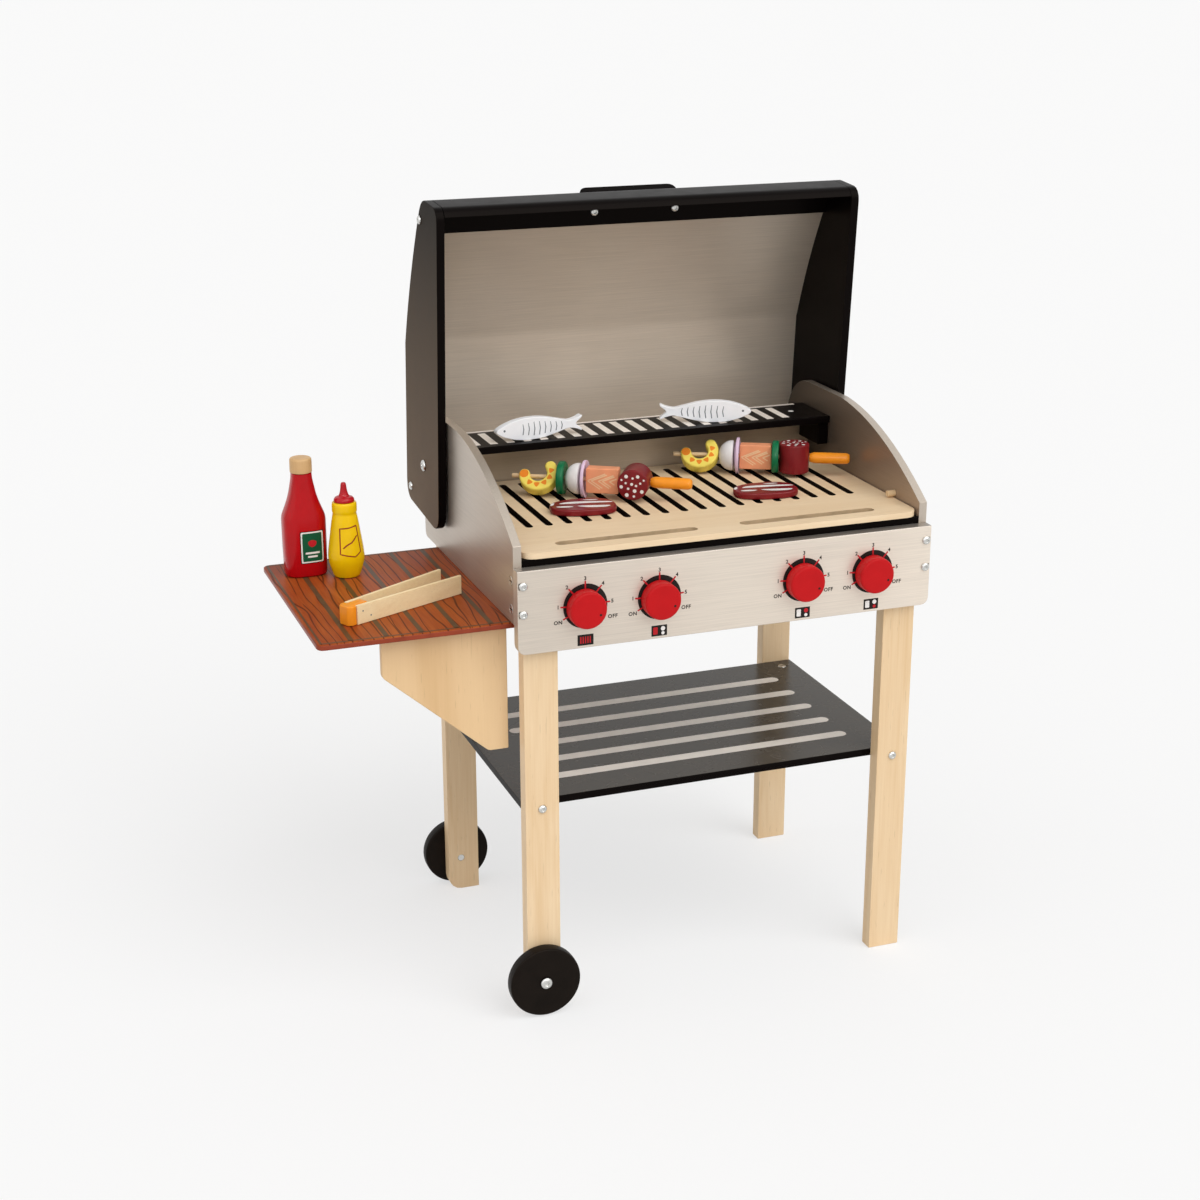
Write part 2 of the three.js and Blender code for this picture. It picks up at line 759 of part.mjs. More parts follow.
// The hood's back edge, from its straight stretch over the shoulder to the crown.
function hoodBackCurve() {
  const [bulgeShare, riseShare] = hoodBulgeShares;
  const bulge = [
    hoodBackY - (hoodBackY - shoulderSpot[0]) * bulgeShare,
    hoodStraight + (shoulderSpot[1] - hoodStraight) * riseShare,
  ];
  const crownBulge = [crownSpot[0] + (shoulderSpot[0] - crownSpot[0]) * crownBulgeShare, hoodAbove];
  return [
    ...curve([hoodBackY, hoodStraight], bulge, shoulderSpot),
    ...curve(shoulderSpot, crownBulge, crownSpot).slice(1),
  ];
}

function hoodRimArc() {
  return rounded(crownSpot, [rimY, hoodAbove], [rimY, -hoodBelow], hoodRimCorner);
}

// A side panel with its two bolts into the rail and the back bar.
function hoodSide(x) {
  const toe = [rimY, -hoodBelow];
  const heel = [hoodBackY, -hoodBelow];
  const outline = [
    ...hoodRimArc(),
    ...rounded([rimY, hoodAbove], toe, heel, hoodToeCorner),
    ...rounded(toe, heel, [hoodBackY, hoodStraight], hoodHeelCorner),
    ...hoodBackCurve(),
  ];
  const onLeft = x < 0;
  const face = onLeft ? x : x + hoodThickness;
  const inward = onLeft ? right : left;
  const pivotHole = bore(point(face, 0, 0), inward, hoodThickness + overrun, pivotBore, nutSides);
  const bolts = [railBolt, backBarBolt].map(([y, z]) => (
    bolt(point(face, y, z), inward, hoodThickness + fit + hoodBoltReach)
  ));
  return worked(sideBoard(outline, x, hoodThickness), [pivotHole], bolts);
}

// A bar, board or sheet that fills the width between the hood's side panels.
const crossStart = fit - hoodSideGap;
const crossEnd = panelWidth - crossStart;

function crossPiece(outline) {
  return sideBoard(outline, crossStart, crossEnd - crossStart);
}

function endHoles([y, z]) {
  return [
    bore(point(crossStart, y, z), right, hoodBoltReach + fit),
    bore(point(crossEnd, y, z), left, hoodBoltReach + fit),
  ];
}

function hoodFrontBoard() {
  const rise = hoodRimCorner - frontBoardThickness;
  const front = rimY + hoodRimCorner - Math.sqrt(hoodRimCorner ** 2 - rise ** 2);
  const crown = hoodBackCurve().filter((spot) => spot.y > boardFoot);
  return crossPiece([
    new THREE.Vector2(crown[0].x, boardFoot),
    ...crown,
    ...hoodRimArc().filter((spot) => spot.y > boardFoot),
    new THREE.Vector2(front, boardFoot),
  ]);
}

function hoodRail() {
  const outer = between(offset(hoodBackCurve(), railInset), railFoot, railTop);
  const outline = [
    ...outer,
    new THREE.Vector2(railFace, railTop),
    new THREE.Vector2(railFace, railFoot),
  ];
  const reach = shoulderSpot[0] - railFace + handleBoltDepth;
  const bolts = handleBoltXs.map((x) => bolt(point(x, railFace, railMiddle), backward, reach));
  return worked(crossPiece(outline), endHoles(railBolt), bolts);
}

function hoodSheet() {
  const line = [new THREE.Vector2(hoodBackY, -hoodBelow), ...hoodBackCurve()];
  const ends = [backBarTop + fit, railFoot - fit];
  const outer = between(offset(line, sheetInset), ...ends);
  const inner = between(offset(line, sheetInset + sheetThickness), ...ends);
  return crossPiece([...outer, ...inner.reverse()]);
}

function hoodBackBar() {
  const backBarEnd = backBarY + backBarDepth;
  const section = rectangle(backBarY, -backBarBelow, backBarEnd, backBarTop, backBarEdge, slotSteps);
  return worked(crossPiece(section), endHoles(backBarBolt));
}

// The handle is an arch that stands square on the slope behind the rail.
function hoodHandle() {
  const half = handleLength / 2;
  const foot = half - handleFoot;
  const arch = handleReach - handleBar;
  const outline = filleted([
    [-half, 0],
    [-foot, 0],
    [-foot, arch, handleBar / 2],
    [foot, arch, handleBar / 2],
    [foot, 0],
    [half, 0],
    [half, handleReach, handleCorner],
    [-half, handleReach, handleCorner],
  ]);
  const line = hoodBackCurve();
  const slope = line[curveSteps].clone().sub(line[curveSteps - 1]).normalize();
  const normal = point(0, slope.y, -slope.x);
  const along = point(0, slope.x, slope.y);
  const seat = point(middle, ...shoulderSpot).addScaledVector(along, -handleDrop);
  seat.addScaledVector(normal, fit);
  const stand = new THREE.Matrix4().makeBasis(right, normal, along).setPosition(seat);
  const arched = extruded(outline, handleThickness).translate(0, 0, -handleThickness / 2);
  const reach = shoulderSpot[0] - railFace + handleBoltDepth + fit;
  const holes = handleBoltXs.map((x) => bore(point(x, railFace, railMiddle), backward, reach));
  return worked(arched.applyMatrix4(stand), holes);
}

// A pivot bolt with a collar that keeps the hood clear of the firebox.
function pivot(direction) {
  const radius = pivotShank / 2;
  const collar = fit + hoodThickness + collarGap;
  const collarEnd = fit + hoodThickness + hoodSideGap - collarGap;
  const end = fit + hoodThickness + hoodSideGap + sideThickness;
  return turned([
    ...domedHead(pivotHead, 0),
    [radius, 0],
    [radius, collar],
    [pivotCollar / 2, collar],
    [pivotCollar / 2, collarEnd],
    [radius, collarEnd],
    [radius, end],
    [0, end],
  ], direction, nutSides);
}

function addHood(grill) {
  const hood = new THREE.Group();
  hood.position.set(0, hoodPivotY, hoodPivotZ);
  hood.rotation.x = lean;
  grill.add(hood);
  const leftX = -hoodSideGap - hoodThickness;
  const rightX = panelWidth + hoodSideGap;
  piece(hood, 'hood_left_panel', hoodSide(leftX), blackPaint);
  piece(hood, 'hood_right_panel', hoodSide(rightX), blackPaint);
  piece(hood, 'hood_front_board', hoodFrontBoard(), blackPaint);
  piece(hood, 'hood_rail', hoodRail(), blackPaint);
  piece(hood, 'hood_sheet', hoodSheet(), hoodPaint);
  piece(hood, 'hood_back_bar', hoodBackBar(), blackPaint);
  piece(hood, 'hood_handle', hoodHandle(), blackPaint);
  piece(hood, 'left_hood_pivot', pivot(right).translate(leftX - fit, 0, 0), zinc);
  piece(hood, 'right_hood_pivot', pivot(left).translate(rightX + hoodThickness + fit, 0, 0), zinc);
}

// Sauce bottles, tongs and food

function placed(grill, at, angle) {
  const group = new THREE.Group();
  group.position.copy(at);
  group.rotation.z = THREE.MathUtils.degToRad(angle);
  grill.add(group);
  return group;
}

// A stack of rounded-square rings, each [half width, half depth, height], closed at both ends.
function lofted(rings, squareness) {
  const sides = turnedSides;
  const eased = (value) => Math.sign(value) * Math.abs(value) ** (2 / squareness);
  const vertices = rings.flatMap(([halfWidth, halfDepth, height]) => (
    Array.from({ length: sides }, (_, index) => {
      const angle = tau * index / sides;
      return [halfWidth * eased(Math.cos(angle)), halfDepth * eased(Math.sin(angle)), height];
    })
  ));
  const base = vertices.length;
  vertices.push([0, 0, rings[0][2]], [0, 0, rings.at(-1)[2]]);
  const last = (rings.length - 1) * sides;
  const faces = Array.from({ length: sides }, (_, index) => {
    const next = (index + 1) % sides;
    const walls = rings.slice(1).flatMap((_ring, ring) => {
      const [low, high] = [ring * sides, (ring + 1) * sides];
      return [low + index, low + next, high + next, low + index, high + next, high + index];
    });
    return [base, next, index, ...walls, base + 1, last + index, last + next];
  });
  const geometry = new THREE.BufferGeometry();
  geometry.setAttribute('position', new THREE.Float32BufferAttribute(vertices.flat(), 3));
  geometry.setIndex(faces.flat());
  const faceted = geometry.toNonIndexed();
  faceted.computeVertexNormals();
  return faceted;
}

function addKetchup(grill) {
  const at = point(ketchupFromEnd - tableReach, tableBack - ketchupFromBack, tableTop + fit);
  const bottle = placed(grill, at, ketchupAngle);
  const halfWidth = ketchupWidth / 2;
  const halfDepth = ketchupDeep / 2;
  const neck = ketchupNeck / 2;
  const bodyShares = [[0.9, 0], [0.97, 0.04], [1, 0.5], [1, 1]];
  const body = bodyShares.map(([wideShare, highShare]) => [
    halfWidth * wideShare,
    halfDepth * wideShare,
    ketchupBody * highShare,
  ]);
  const shoulderShares = [[0.86, 0.1], [0.66, 0.26], [0.36, 0.52], [0.13, 0.78], [0, 1]];
  const shoulders = shoulderShares.map(([wideShare, highShare]) => [
    neck + (halfWidth - neck) * wideShare,
    neck + (halfDepth - neck) * wideShare,
    ketchupBody + ketchupTaper * highShare,
  ]);
  piece(bottle, 'ketchup_bottle', lofted([...body, ...shoulders], ketchupSquareness), ketchupRed);
  const radius = ketchupCapDiameter / 2;
  const foot = ketchupBody + ketchupTaper + fit;
  const crown = foot + ketchupCapHeight;
  const edge = radius / 4;
  const cap = [[0, foot], [radius, foot], [radius, crown - edge], [radius - edge, crown], [0, crown]];
  piece(bottle, 'ketchup_cap', turned(cap, up), birch);
}

function addMustard(grill) {
  const at = point(mustardFromEnd - tableReach, tableBack - mustardFromBack, tableTop + fit);
  const bottle = placed(grill, at, 0);
  const bellyShares = [
    [0, 0], [0.64, 0], [0.76, 0.03], [0.98, 0.2], [1, 0.28], [0.95, 0.4], [0.74, 0.74], [0.65, 0.84],
    [0.68, 0.87], [0.68, 0.97], [0.64, 1], [0, 1],
  ];
  const belly = bellyShares.map(([radiusShare, heightShare]) => [
    mustardBelly / 2 * radiusShare,
    mustardHeight * heightShare,
  ]);
  piece(bottle, 'mustard_bottle', turned(belly, up), mustardYellow);
  const foot = mustardHeight + fit;
  const deck = foot + mustardCapHeight;
  const flangeShares = [[0, 0], [0.97, 0], [0.97, 0.6], [0.8, 1], [0.36, 1.2]];
  const flange = flangeShares.map(([radiusShare, heightShare]) => [
    mustardCap / 2 * radiusShare,
    foot + mustardCapHeight * heightShare,
  ]);
  const nozzleShares = [[1.5, 0.45], [1, 0.9], [0.6, 1], [0, 1]];
  const nozzle = nozzleShares.map(([radiusShare, heightShare]) => [
    mustardTip / 2 * radiusShare,
    deck + mustardNozzle * heightShare,
  ]);
  piece(bottle, 'mustard_cap', turned([...flange, ...nozzle], up), capRed);
}

// The blades are hinged at the block's outer end and stand a little open.
function addTongs(grill) {
  const at = point(-tongsFromSide, tableFront + tongsFromFront, tableTop + fit);
  const tongs = placed(grill, at, tongsAngle);
  const half = tongsBlockWidth / 2;
  const block = rectangle(0, -half, tongsBlockLength, half);
  piece(tongs, 'tongs_block', extruded(block, tongsHeight), orange);
  const sides = { tongs_front_blade: -1, tongs_back_blade: 1 };
  Object.entries(sides).forEach(([name, way]) => {
    const blade = new THREE.Group();
    blade.position.y = way * (half + fit);
    blade.rotation.z = way * THREE.MathUtils.degToRad(tongsSpread);
    tongs.add(blade);
    const inner = way > 0 ? 0 : -tongsBlade;
    const outline = rectangle(0, inner, tongsLength, inner + tongsBlade);
    piece(blade, name, extruded(outline, tongsHeight), plywood);
  });
}

// A fish seen from the side, its nose at the low end of x and its forked tail at the other.
function fishOutline() {
  const half = fishLength / 2;
  const high = fishHeight / 2;
  const body = fishLength - fishTail;
  const bodyShares = [
    [0.04, 0.3], [0.12, 0.56], [0.24, 0.84], [0.38, 0.99],
    [0.54, 1], [0.69, 0.87], [0.83, 0.65], [0.95, 0.42],
  ];
  const upper = bodyShares.map(([alongShare, highShare]) => [body * alongShare - half, high * highShare]);
  const finShares = [[0, 0.36], [1, 0.7]];
  const fin = finShares.map(([alongShare, highShare]) => [
    half - fishTail + fishTail * alongShare,
    high * highShare,
  ]);
  const top = [...upper, ...fin];
  const under = top.map(([x, y]) => [x, -y]);
  const notch = [half - fishTail / 2, 0];
  const outline = [[-half, 0], ...under, notch, ...top.reverse()];
  return outline.map((spot) => new THREE.Vector2(...spot));
}

// The fish stands on its belly, across the rack.
function addFish(grill, name, x, y, angle) {
  const fish = placed(grill, point(x, y, rackTop + fit), angle);
  const upright = new THREE.Matrix4().makeBasis(right, up, forward);
  const body = softened(fishOutline(), fishThickness, fishSoft, 1).applyMatrix4(upright);
  piece(fish, name, body.translate(0, fishThickness / 2, fishHeight / 2), fishWhite);
}

function addSteak(grill, name, x, y, angle) {
  const steak = placed(grill, point(x, y, plateTop + fit), angle);
  const outline = Array.from({ length: turnedSides }, (_, index) => {
    const angle = tau * index / turnedSides;
    const bean = 1 - steakDentShare * Math.cos(angle * 2 + 1) * Math.sin(angle);
    const [x, y] = [steakLength / 2 * Math.cos(angle), steakWidth / 2 * Math.sin(angle)];
    return new THREE.Vector2(x * bean, y * bean);
  });
  piece(steak, name, softened(outline, steakThickness, steakSoft, 1), steakRed);
}

// Skewered food, each piece drawn with its rod along x and its near face at x = 0

function slice(diameter, thickness) {
  const hole = skewerBore / 2;
  const outer = diameter / 2;
  const edge = thickness / 4;
  return turned([
    [hole, 0],
    [outer - edge, 0],
    [outer, edge],
    [outer, thickness - edge],
    [outer - edge, thickness],
    [hole, thickness],
    [hole, 0],
  ], right);
}

function mushroom() {
  const hole = skewerBore / 2;
  const domeShares = [[0.3, 0.02], [0.6, 0.13], [0.84, 0.34], [0.97, 0.64], [1, 1]];
  const dome = domeShares.map(([radiusShare, depthShare]) => [
    mushroomDiameter / 2 * radiusShare,
    mushroomDepth * depthShare,
  ]);
  return turned([[hole, 0], ...dome, [hole, mushroomDepth], [hole, 0]], right);
}

function threaded(geometry) {
  geometry.computeBoundingBox();
  const { min, max } = geometry.boundingBox;
  return worked(geometry, [bore(point(min.x, 0, 0), right, max.x - min.x + overrun, skewerBore)]);
}

function salmon() {
  const outline = rectangle(0, -salmonHeight / 2, salmonLength, salmonHeight / 2, salmonCorner);
  return threaded(frontBoard(outline, -salmonWidth / 2, salmonWidth));
}

function salami(direction) {
  const radius = salamiDiameter / 2;
  const half = salamiHeight / 2;
  const profile = [
    [0, -half],
    [radius - salamiEdge, -half],
    [radius, salamiEdge - half],
    [radius, half - salamiEdge],
    [radius - salamiEdge, half],
    [0, half],
  ];
  return threaded(turned(profile, direction)).translate(radius, 0, 0);
}

// A bent band with round ends, threaded across its open side and leaning back on the rod.
function prawn() {
  const [from, to] = [prawnStart, prawnEnd].map(THREE.MathUtils.degToRad);
  const spine = prawnRadius - prawnBand / 2;
  const cap = (angle, turn) => {
    const [x, y] = [spine * Math.cos(angle), spine * Math.sin(angle)];
    return arc(x, y, prawnBand / 2, angle + turn, angle + turn + tau / 2, arcSteps).slice(1, -1);
  };
  const outline = [
    ...arc(0, 0, prawnRadius, from, to),
    ...cap(to, 0),
    ...arc(0, 0, prawnRadius - prawnBand, to, from),
    ...cap(from, tau / 2),
  ];
  const upright = new THREE.Matrix4().makeBasis(right, up, forward);
  const body = softened(outline, prawnThickness, prawnSoft, 1).applyMatrix4(upright);
  body.translate(0, prawnThickness / 2, prawnRadius - onionDiameter / 2);
  const leaning = threaded(body).rotateX(-THREE.MathUtils.degToRad(prawnTilt));
  return leaning.translate(prawnRadius, 0, 0);
}

// Threads the named foods one after another on a rod, with its handle behind the last of them.
function addSkewer(grill, side, x, y, angle, order, salamiAxis) {
  const skewer = placed(grill, point(x, y, plateTop + fit + onionDiameter / 2), angle);
  const foods = {
    prawn: [prawn, prawnRadius * 2, prawnYellow],
    pepper: [() => slice(pepperDiameter, pepperThickness), pepperThickness, pepperGreen],
    mushroom: [mushroom, mushroomDepth, mushroomWhite],
    onion: [() => slice(onionDiameter, onionThickness), onionThickness, onionLilac],
    salmon: [salmon, salmonLength, salmonPink],
    salami: [() => salami(salamiAxis), salamiDiameter, salamiRed],
  };
  const last = order.reduce((start, food) => {
    const [make, length, finish] = foods[food];
    piece(skewer, `${side}_skewer_${food}`, make().translate(start, 0, 0), finish);
    return start + length + fit;
  }, skewerTip);
  const thin = skewerRod / 2;
  const grip = skewerGrip / 2;
  const end = last + skewerHandle;
  piece(skewer, `${side}_skewer_stick`, turned([
    [0, 0],
    [thin, thin],
    [thin, last],
    [grip / 2 + thin / 2, last],
    [grip, last + grip / 2],
    [grip, end - grip / 2],
    [grip / 2 + thin / 2, end],
    [0, end],
  ], right, nutSides), orange);
}

function addFood(grill) {
  addFish(grill, 'left_fish', leftFishFromSide, rackFront + leftFishFromRack, leftFishAngle);
  const rightFishX = panelWidth - rightFishFromSide;
  addFish(grill, 'right_fish', rightFishX, rackFront + rightFishFromRack, rightFishAngle);
  const leftSteakY = backFront - leftSteakFromBack;
  addSteak(grill, 'left_steak', leftSteakFromSide, leftSteakY, leftSteakAngle);
  const rightSteakX = panelWidth - rightSteakFromSide;
  const rightSteakY = backFront - rightSteakFromBack;
  addSteak(grill, 'right_steak', rightSteakX, rightSteakY, rightSteakAngle);
  const leftOrder = ['prawn', 'pepper', 'mushroom', 'onion', 'salmon', 'salami'];
  const leftY = backFront - leftSkewerFromBack;
  addSkewer(grill, 'left', leftSkewerFromSide, leftY, leftSkewerAngle, leftOrder, forward);
  const rightOrder = ['prawn', 'mushroom', 'onion', 'salmon', 'pepper', 'salami'];
  const rightX = panelWidth - rightSkewerFromSide;
  const rightY = backFront - rightSkewerFromBack;
  addSkewer(grill, 'right', rightX, rightY, rightSkewerAngle, rightOrder, up);
}

// Assembly

const group = new THREE.Group();
addLegs(group);
addFirebox(group);
addRack(group);
addTable(group);
addShelf(group);
addWheels(group);
addKnobs(group);
addHood(group);
addKetchup(group);
addMustard(group);
addTongs(group);
addFood(group);

// The origin moves to the floor under the middle of the whole grill.
const extent = new THREE.Box3().setFromObject(group, true);
const centre = extent.getCenter(new THREE.Vector3());
group.position.set(-centre.x, -centre.y, -extent.min.z);
group.updateMatrixWorld(true);

export default group;
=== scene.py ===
"""Finishes, printed detail, camera and light for the toy barbecue grill.

Sizes are in millimetres from the front left corner of the firebox, on the floor, and are turned
into the frame's metres where a mesh is made.
"""

import logging
import math
from collections.abc import Callable, Iterable, Sequence
from dataclasses import dataclass, field
from enum import Enum

import bmesh
import bpy
from mathutils import Matrix, Vector


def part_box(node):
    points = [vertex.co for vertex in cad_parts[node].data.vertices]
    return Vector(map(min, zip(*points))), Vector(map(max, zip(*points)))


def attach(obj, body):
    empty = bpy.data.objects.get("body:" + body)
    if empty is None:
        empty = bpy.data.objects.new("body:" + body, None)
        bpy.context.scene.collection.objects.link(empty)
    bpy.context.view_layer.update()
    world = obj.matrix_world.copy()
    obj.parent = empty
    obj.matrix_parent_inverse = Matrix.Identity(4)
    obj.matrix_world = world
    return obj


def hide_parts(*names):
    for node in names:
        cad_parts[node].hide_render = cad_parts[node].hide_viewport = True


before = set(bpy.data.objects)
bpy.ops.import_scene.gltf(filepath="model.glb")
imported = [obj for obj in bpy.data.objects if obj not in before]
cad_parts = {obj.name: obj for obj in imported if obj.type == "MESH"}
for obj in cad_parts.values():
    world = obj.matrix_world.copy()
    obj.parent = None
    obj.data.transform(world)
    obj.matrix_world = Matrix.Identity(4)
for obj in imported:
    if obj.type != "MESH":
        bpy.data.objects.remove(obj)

LOG = logging.getLogger("grill")
MM = 0.001
TAU = math.tau
PRINT_HEIGHT = 0.07
KEEP_SLACK = 0.02
SAME_SPOT = 2e-6
FLAT_ANGLE = math.radians(0.4)
SIDE_PANEL_FRONT = 10.3
BOX_WIDTH = 366.0
SCREW_HEIGHTS = (384.5, 361.0)
FACING = 0.9
HALF_FACING = 0.5

Colour = tuple[float, float, float]
Point = tuple[float, float, float]
Spot = tuple[float, float]
Outline = list[Spot]


class Axis(Enum):
    """A direction in the frame, by its index in a vector."""

    X = 0
    Y = 1
    Z = 2


# Node trees


class Shader:
    """A material's node tree, with short ways to add nodes to it."""

    def __init__(self, name: str) -> None:
        """Start a material whose only shader is a Principled one.

        Args:
            name: The material's name.
        """
        self.material = bpy.data.materials.new(name)
        self.material.use_nodes = True
        self.tree = self.material.node_tree
        self.surface = self.tree.nodes["Principled BSDF"]

    def put(self, socket: bpy.types.NodeSocket, value: object) -> None:
        """Link a socket to another one, or set its plain value.

        Args:
            socket: The input to fill.
            value: Another node's output, a colour, a vector or a number.
        """
        if isinstance(value, bpy.types.NodeSocket):
            self.tree.links.new(value, socket)
        elif isinstance(value, tuple) and len(value) == 3 and socket.type == "RGBA":
            socket.default_value = (*value, 1.0)
        else:
            socket.default_value = value

    def add(self, kind: str, inputs: dict[str | int, object], **settings: object) -> bpy.types.Node:
        """Add a node.

        Args:
            kind: The node's type name, without the "ShaderNode" before it.
            inputs: Values or sockets for the node's inputs.
            settings: The node's own settings.

        Returns:
            The new node.
        """
        node = self.tree.nodes.new(f"ShaderNode{kind}")
        for key, value in settings.items():
            setattr(node, key, value)
        for key, value in inputs.items():
            self.put(node.inputs[key], value)
        return node

    def stretched(self, x: float, y: float, z: float) -> bpy.types.NodeSocket:
        """Give object coordinates multiplied along each axis."""
        place = self.add("TexCoord", {}).outputs["Object"]
        return self.add("Mapping", {"Vector": place, "Scale": (x, y, z)}).outputs[0]

    def even(self, scale: float) -> bpy.types.NodeSocket:
        """Give object coordinates multiplied alike along all axes."""
        return self.stretched(scale, scale, scale)

    def along(self, grain: Axis, across: float, lengthwise: float) -> bpy.types.NodeSocket:
        """Give object coordinates drawn out along one axis.

        Args:
            grain: The axis they are drawn out along.
            across: Their scale across the grain.
            lengthwise: Their scale along the grain.

        Returns:
            The coordinates.
        """
        scale = [across] * 3
        scale[grain.value] = lengthwise
        return self.stretched(*scale)

    def noise(
        self,
        place: bpy.types.NodeSocket,
        detail: float = 3.0,
        distortion: float = 0.0,
    ) -> bpy.types.NodeSocket:
        """Give soft random values from 0 to 1."""
        inputs = {"Vector": place, "Scale": 1.0, "Detail": detail, "Distortion": distortion}
        return self.add("TexNoise", inputs).outputs[0]

    def spread(
        self, value: bpy.types.NodeSocket, low: float, high: float, to_low: float, to_high: float
    ) -> bpy.types.NodeSocket:
        """Map one range of values to another."""
        inputs = {"Value": value, "From Min": low, "From Max": high, "To Min": to_low, "To Max": to_high}
        return self.add("MapRange", inputs).outputs[0]

    def varied(self, noise: bpy.types.NodeSocket, low: float, high: float) -> bpy.types.NodeSocket:
        """Map a noise's usual values, from 0.3 to 0.7, to another range."""
        return self.spread(noise, 0.3, 0.7, low, high)

    def mixed(
        self, share: bpy.types.NodeSocket | float, first: object, second: object
    ) -> bpy.types.NodeSocket:
        """Mix two colours."""
        node = self.add("Mix", {0: share, 6: first, 7: second}, data_type="RGBA")
        return node.outputs[2]

    def worked(
        self, operation: str, first: object, second: object = 0.0, third: object = 0.0
    ) -> bpy.types.NodeSocket:
        """Do one sum on up to three values."""
        return self.add("Math", {0: first, 1: second, 2: third}, operation=operation).outputs[0]

    def painted_shading(self, colour: object, axis: Axis, start: float, end: float) -> bpy.types.NodeSocket:
        """Paint light and shade into a colour, making it lighter or darker from one end of the piece to
        the other.

        Args:
            colour: The colour, or a socket that gives it.
            axis: The way from one end to the other.
            start: What the colour is multiplied by at the low end.
            end: What it is multiplied by at the high end.

        Returns:
            The faded colour.
        """
        place = self.add("SeparateXYZ", {0: self.add("TexCoord", {}).outputs["Generated"]})
        share = self.spread(place.outputs[axis.value], 0.0, 1.0, start, end)
        return self.add("VectorMath", {0: colour, "Scale": share}, operation="SCALE").outputs[0]

    def relief(self, height: bpy.types.NodeSocket, depth: float, strength: float = 1.0) -> None:
        """Raise the surface by a height from 0 to 1, at a depth in millimetres."""
        inputs = {"Height": height, "Distance": depth * MM, "Strength": strength}
        self.put(self.surface.inputs["Normal"], self.add("Bump", inputs).outputs[0])

    def dress(self, **values: object) -> bpy.types.Material:
        """Set the Principled shader's inputs.

        Args:
            values: Values or sockets, each under its input's name with low lines for spaces.

        Returns:
            The material.
        """
        for key, value in values.items():
            words = key.replace("_", " ").title().replace("Ior", "IOR")
            self.put(self.surface.inputs[words], value)
        return self.material


def seen_directly(tree: bpy.types.NodeTree) -> bpy.types.NodeSocket:
    """Tell what the camera sees, also by reflection or through glass, from what only lights.

    Args:
        tree: The node tree to add to.

    Returns:
        A socket that is 1 for what the camera sees and 0 for lighting.
    """
    rays = tree.nodes.new("ShaderNodeLightPath")
    seen = rays.outputs["Is Camera Ray"]
    for kind in ("Is Glossy Ray", "Is Transmission Ray"):
        either = tree.nodes.new("ShaderNodeMath")
        either.operation = "MAXIMUM"
        tree.links.new(seen, either.inputs[0])
        tree.links.new(rays.outputs[kind], either.inputs[1])
        seen = either.outputs[0]
    return seen


def toned(colour: Colour, by: float) -> Colour:
    """Give a colour made lighter or darker."""
    return tuple(min(1.0, part * by) for part in colour)


# Finishes


@dataclass(frozen=True)
class Timber:
    """Clear-lacquered pale wood.

    Attributes:
        name: The material's name.
        pale: The colour of most of it.
        dark: The colour of its figure.
        grain: The way its grain runs.
        figure: How much of the tone comes from the broad figure.
        breadth: How fine that figure is.
        fibre: How much of the tone comes from the fibres.
        roughness: Its roughness.
        coat: The weight of its lacquer.
    """

    name: str
    pale: Colour
    dark: Colour
    grain: Axis
    figure: float = 0.55
    breadth: float = 46.0
    fibre: float = 0.4
    roughness: float = 0.5
    coat: float = 0.08

    def material(self) -> bpy.types.Material:
        """Build fibres, a broad figure and a few darker flecks along the grain.

        Returns:
            The material.
        """
        shader = Shader(self.name)
        fibres = shader.noise(shader.along(self.grain, 620.0, 14.0), 4.0)
        figure = shader.noise(shader.along(self.grain, self.breadth, self.breadth / 9), 2.0, 1.4)
        flecks = shader.noise(shader.along(self.grain, 900.0, 60.0), 1.0)
        fine = shader.worked("MULTIPLY", fibres, self.fibre)
        tone = shader.worked("MULTIPLY_ADD", figure, self.figure, fine)
        share = shader.spread(tone, 0.3, 0.68, 0.0, 1.0)
        body = shader.mixed(share, self.dark, self.pale)
        speck = shader.spread(flecks, 0.69, 0.76, 0.0, 0.35)
        colour = shader.mixed(speck, body, toned(self.dark, 0.62))
        shader.relief(fibres, 0.05, 0.5)
        return shader.dress(
            base_color=colour,
            roughness=shader.varied(fibres, self.roughness - 0.07, self.roughness + 0.07),
            coat_weight=self.coat,
            coat_roughness=0.25,
        )


@dataclass(frozen=True)
class SilverPaint:
    """Satin metallic paint with a faint brushed grain.

    Attributes:
        name: The material's name.
        colour: Its colour.
        grain: The way its strokes run.
        metallic: How metallic it is.
        roughness: Its roughness.
        painted_light_ramp: What its colour is multiplied by at the low and the high end of an axis, as
            painted light and shade.
    """

    name: str
    colour: Colour
    grain: Axis
    metallic: float = 0.8
    roughness: float = 0.34
    painted_light_ramp: tuple[Axis, float, float] = (Axis.X, 1.0, 1.0)

    def material(self) -> bpy.types.Material:
        """Build fine strokes along the grain over soft clouding, with any painted light and shade from end
        to end.

        Returns:
            The material.
        """
        shader = Shader(self.name)
        strokes = shader.noise(shader.along(self.grain, 1500.0, 22.0), 3.0)
        clouds = shader.noise(shader.even(9.0), 3.0, 0.6)
        share = shader.worked("MULTIPLY_ADD", strokes, 0.7, shader.worked("MULTIPLY", clouds, 0.3))
        brushed = shader.varied(share, 0.0, 1.0)
        colour = shader.mixed(brushed, toned(self.colour, 0.9), toned(self.colour, 1.07))
        shader.relief(strokes, 0.012, 0.35)
        # The colour is multiplied from end to end here, as painted light and shade.
        return shader.dress(
            base_color=shader.painted_shading(colour, *self.painted_light_ramp),
            metallic=self.metallic,
            roughness=shader.varied(clouds, self.roughness - 0.05, self.roughness + 0.06),
            coat_weight=0.05,
            coat_roughness=0.3,
        )


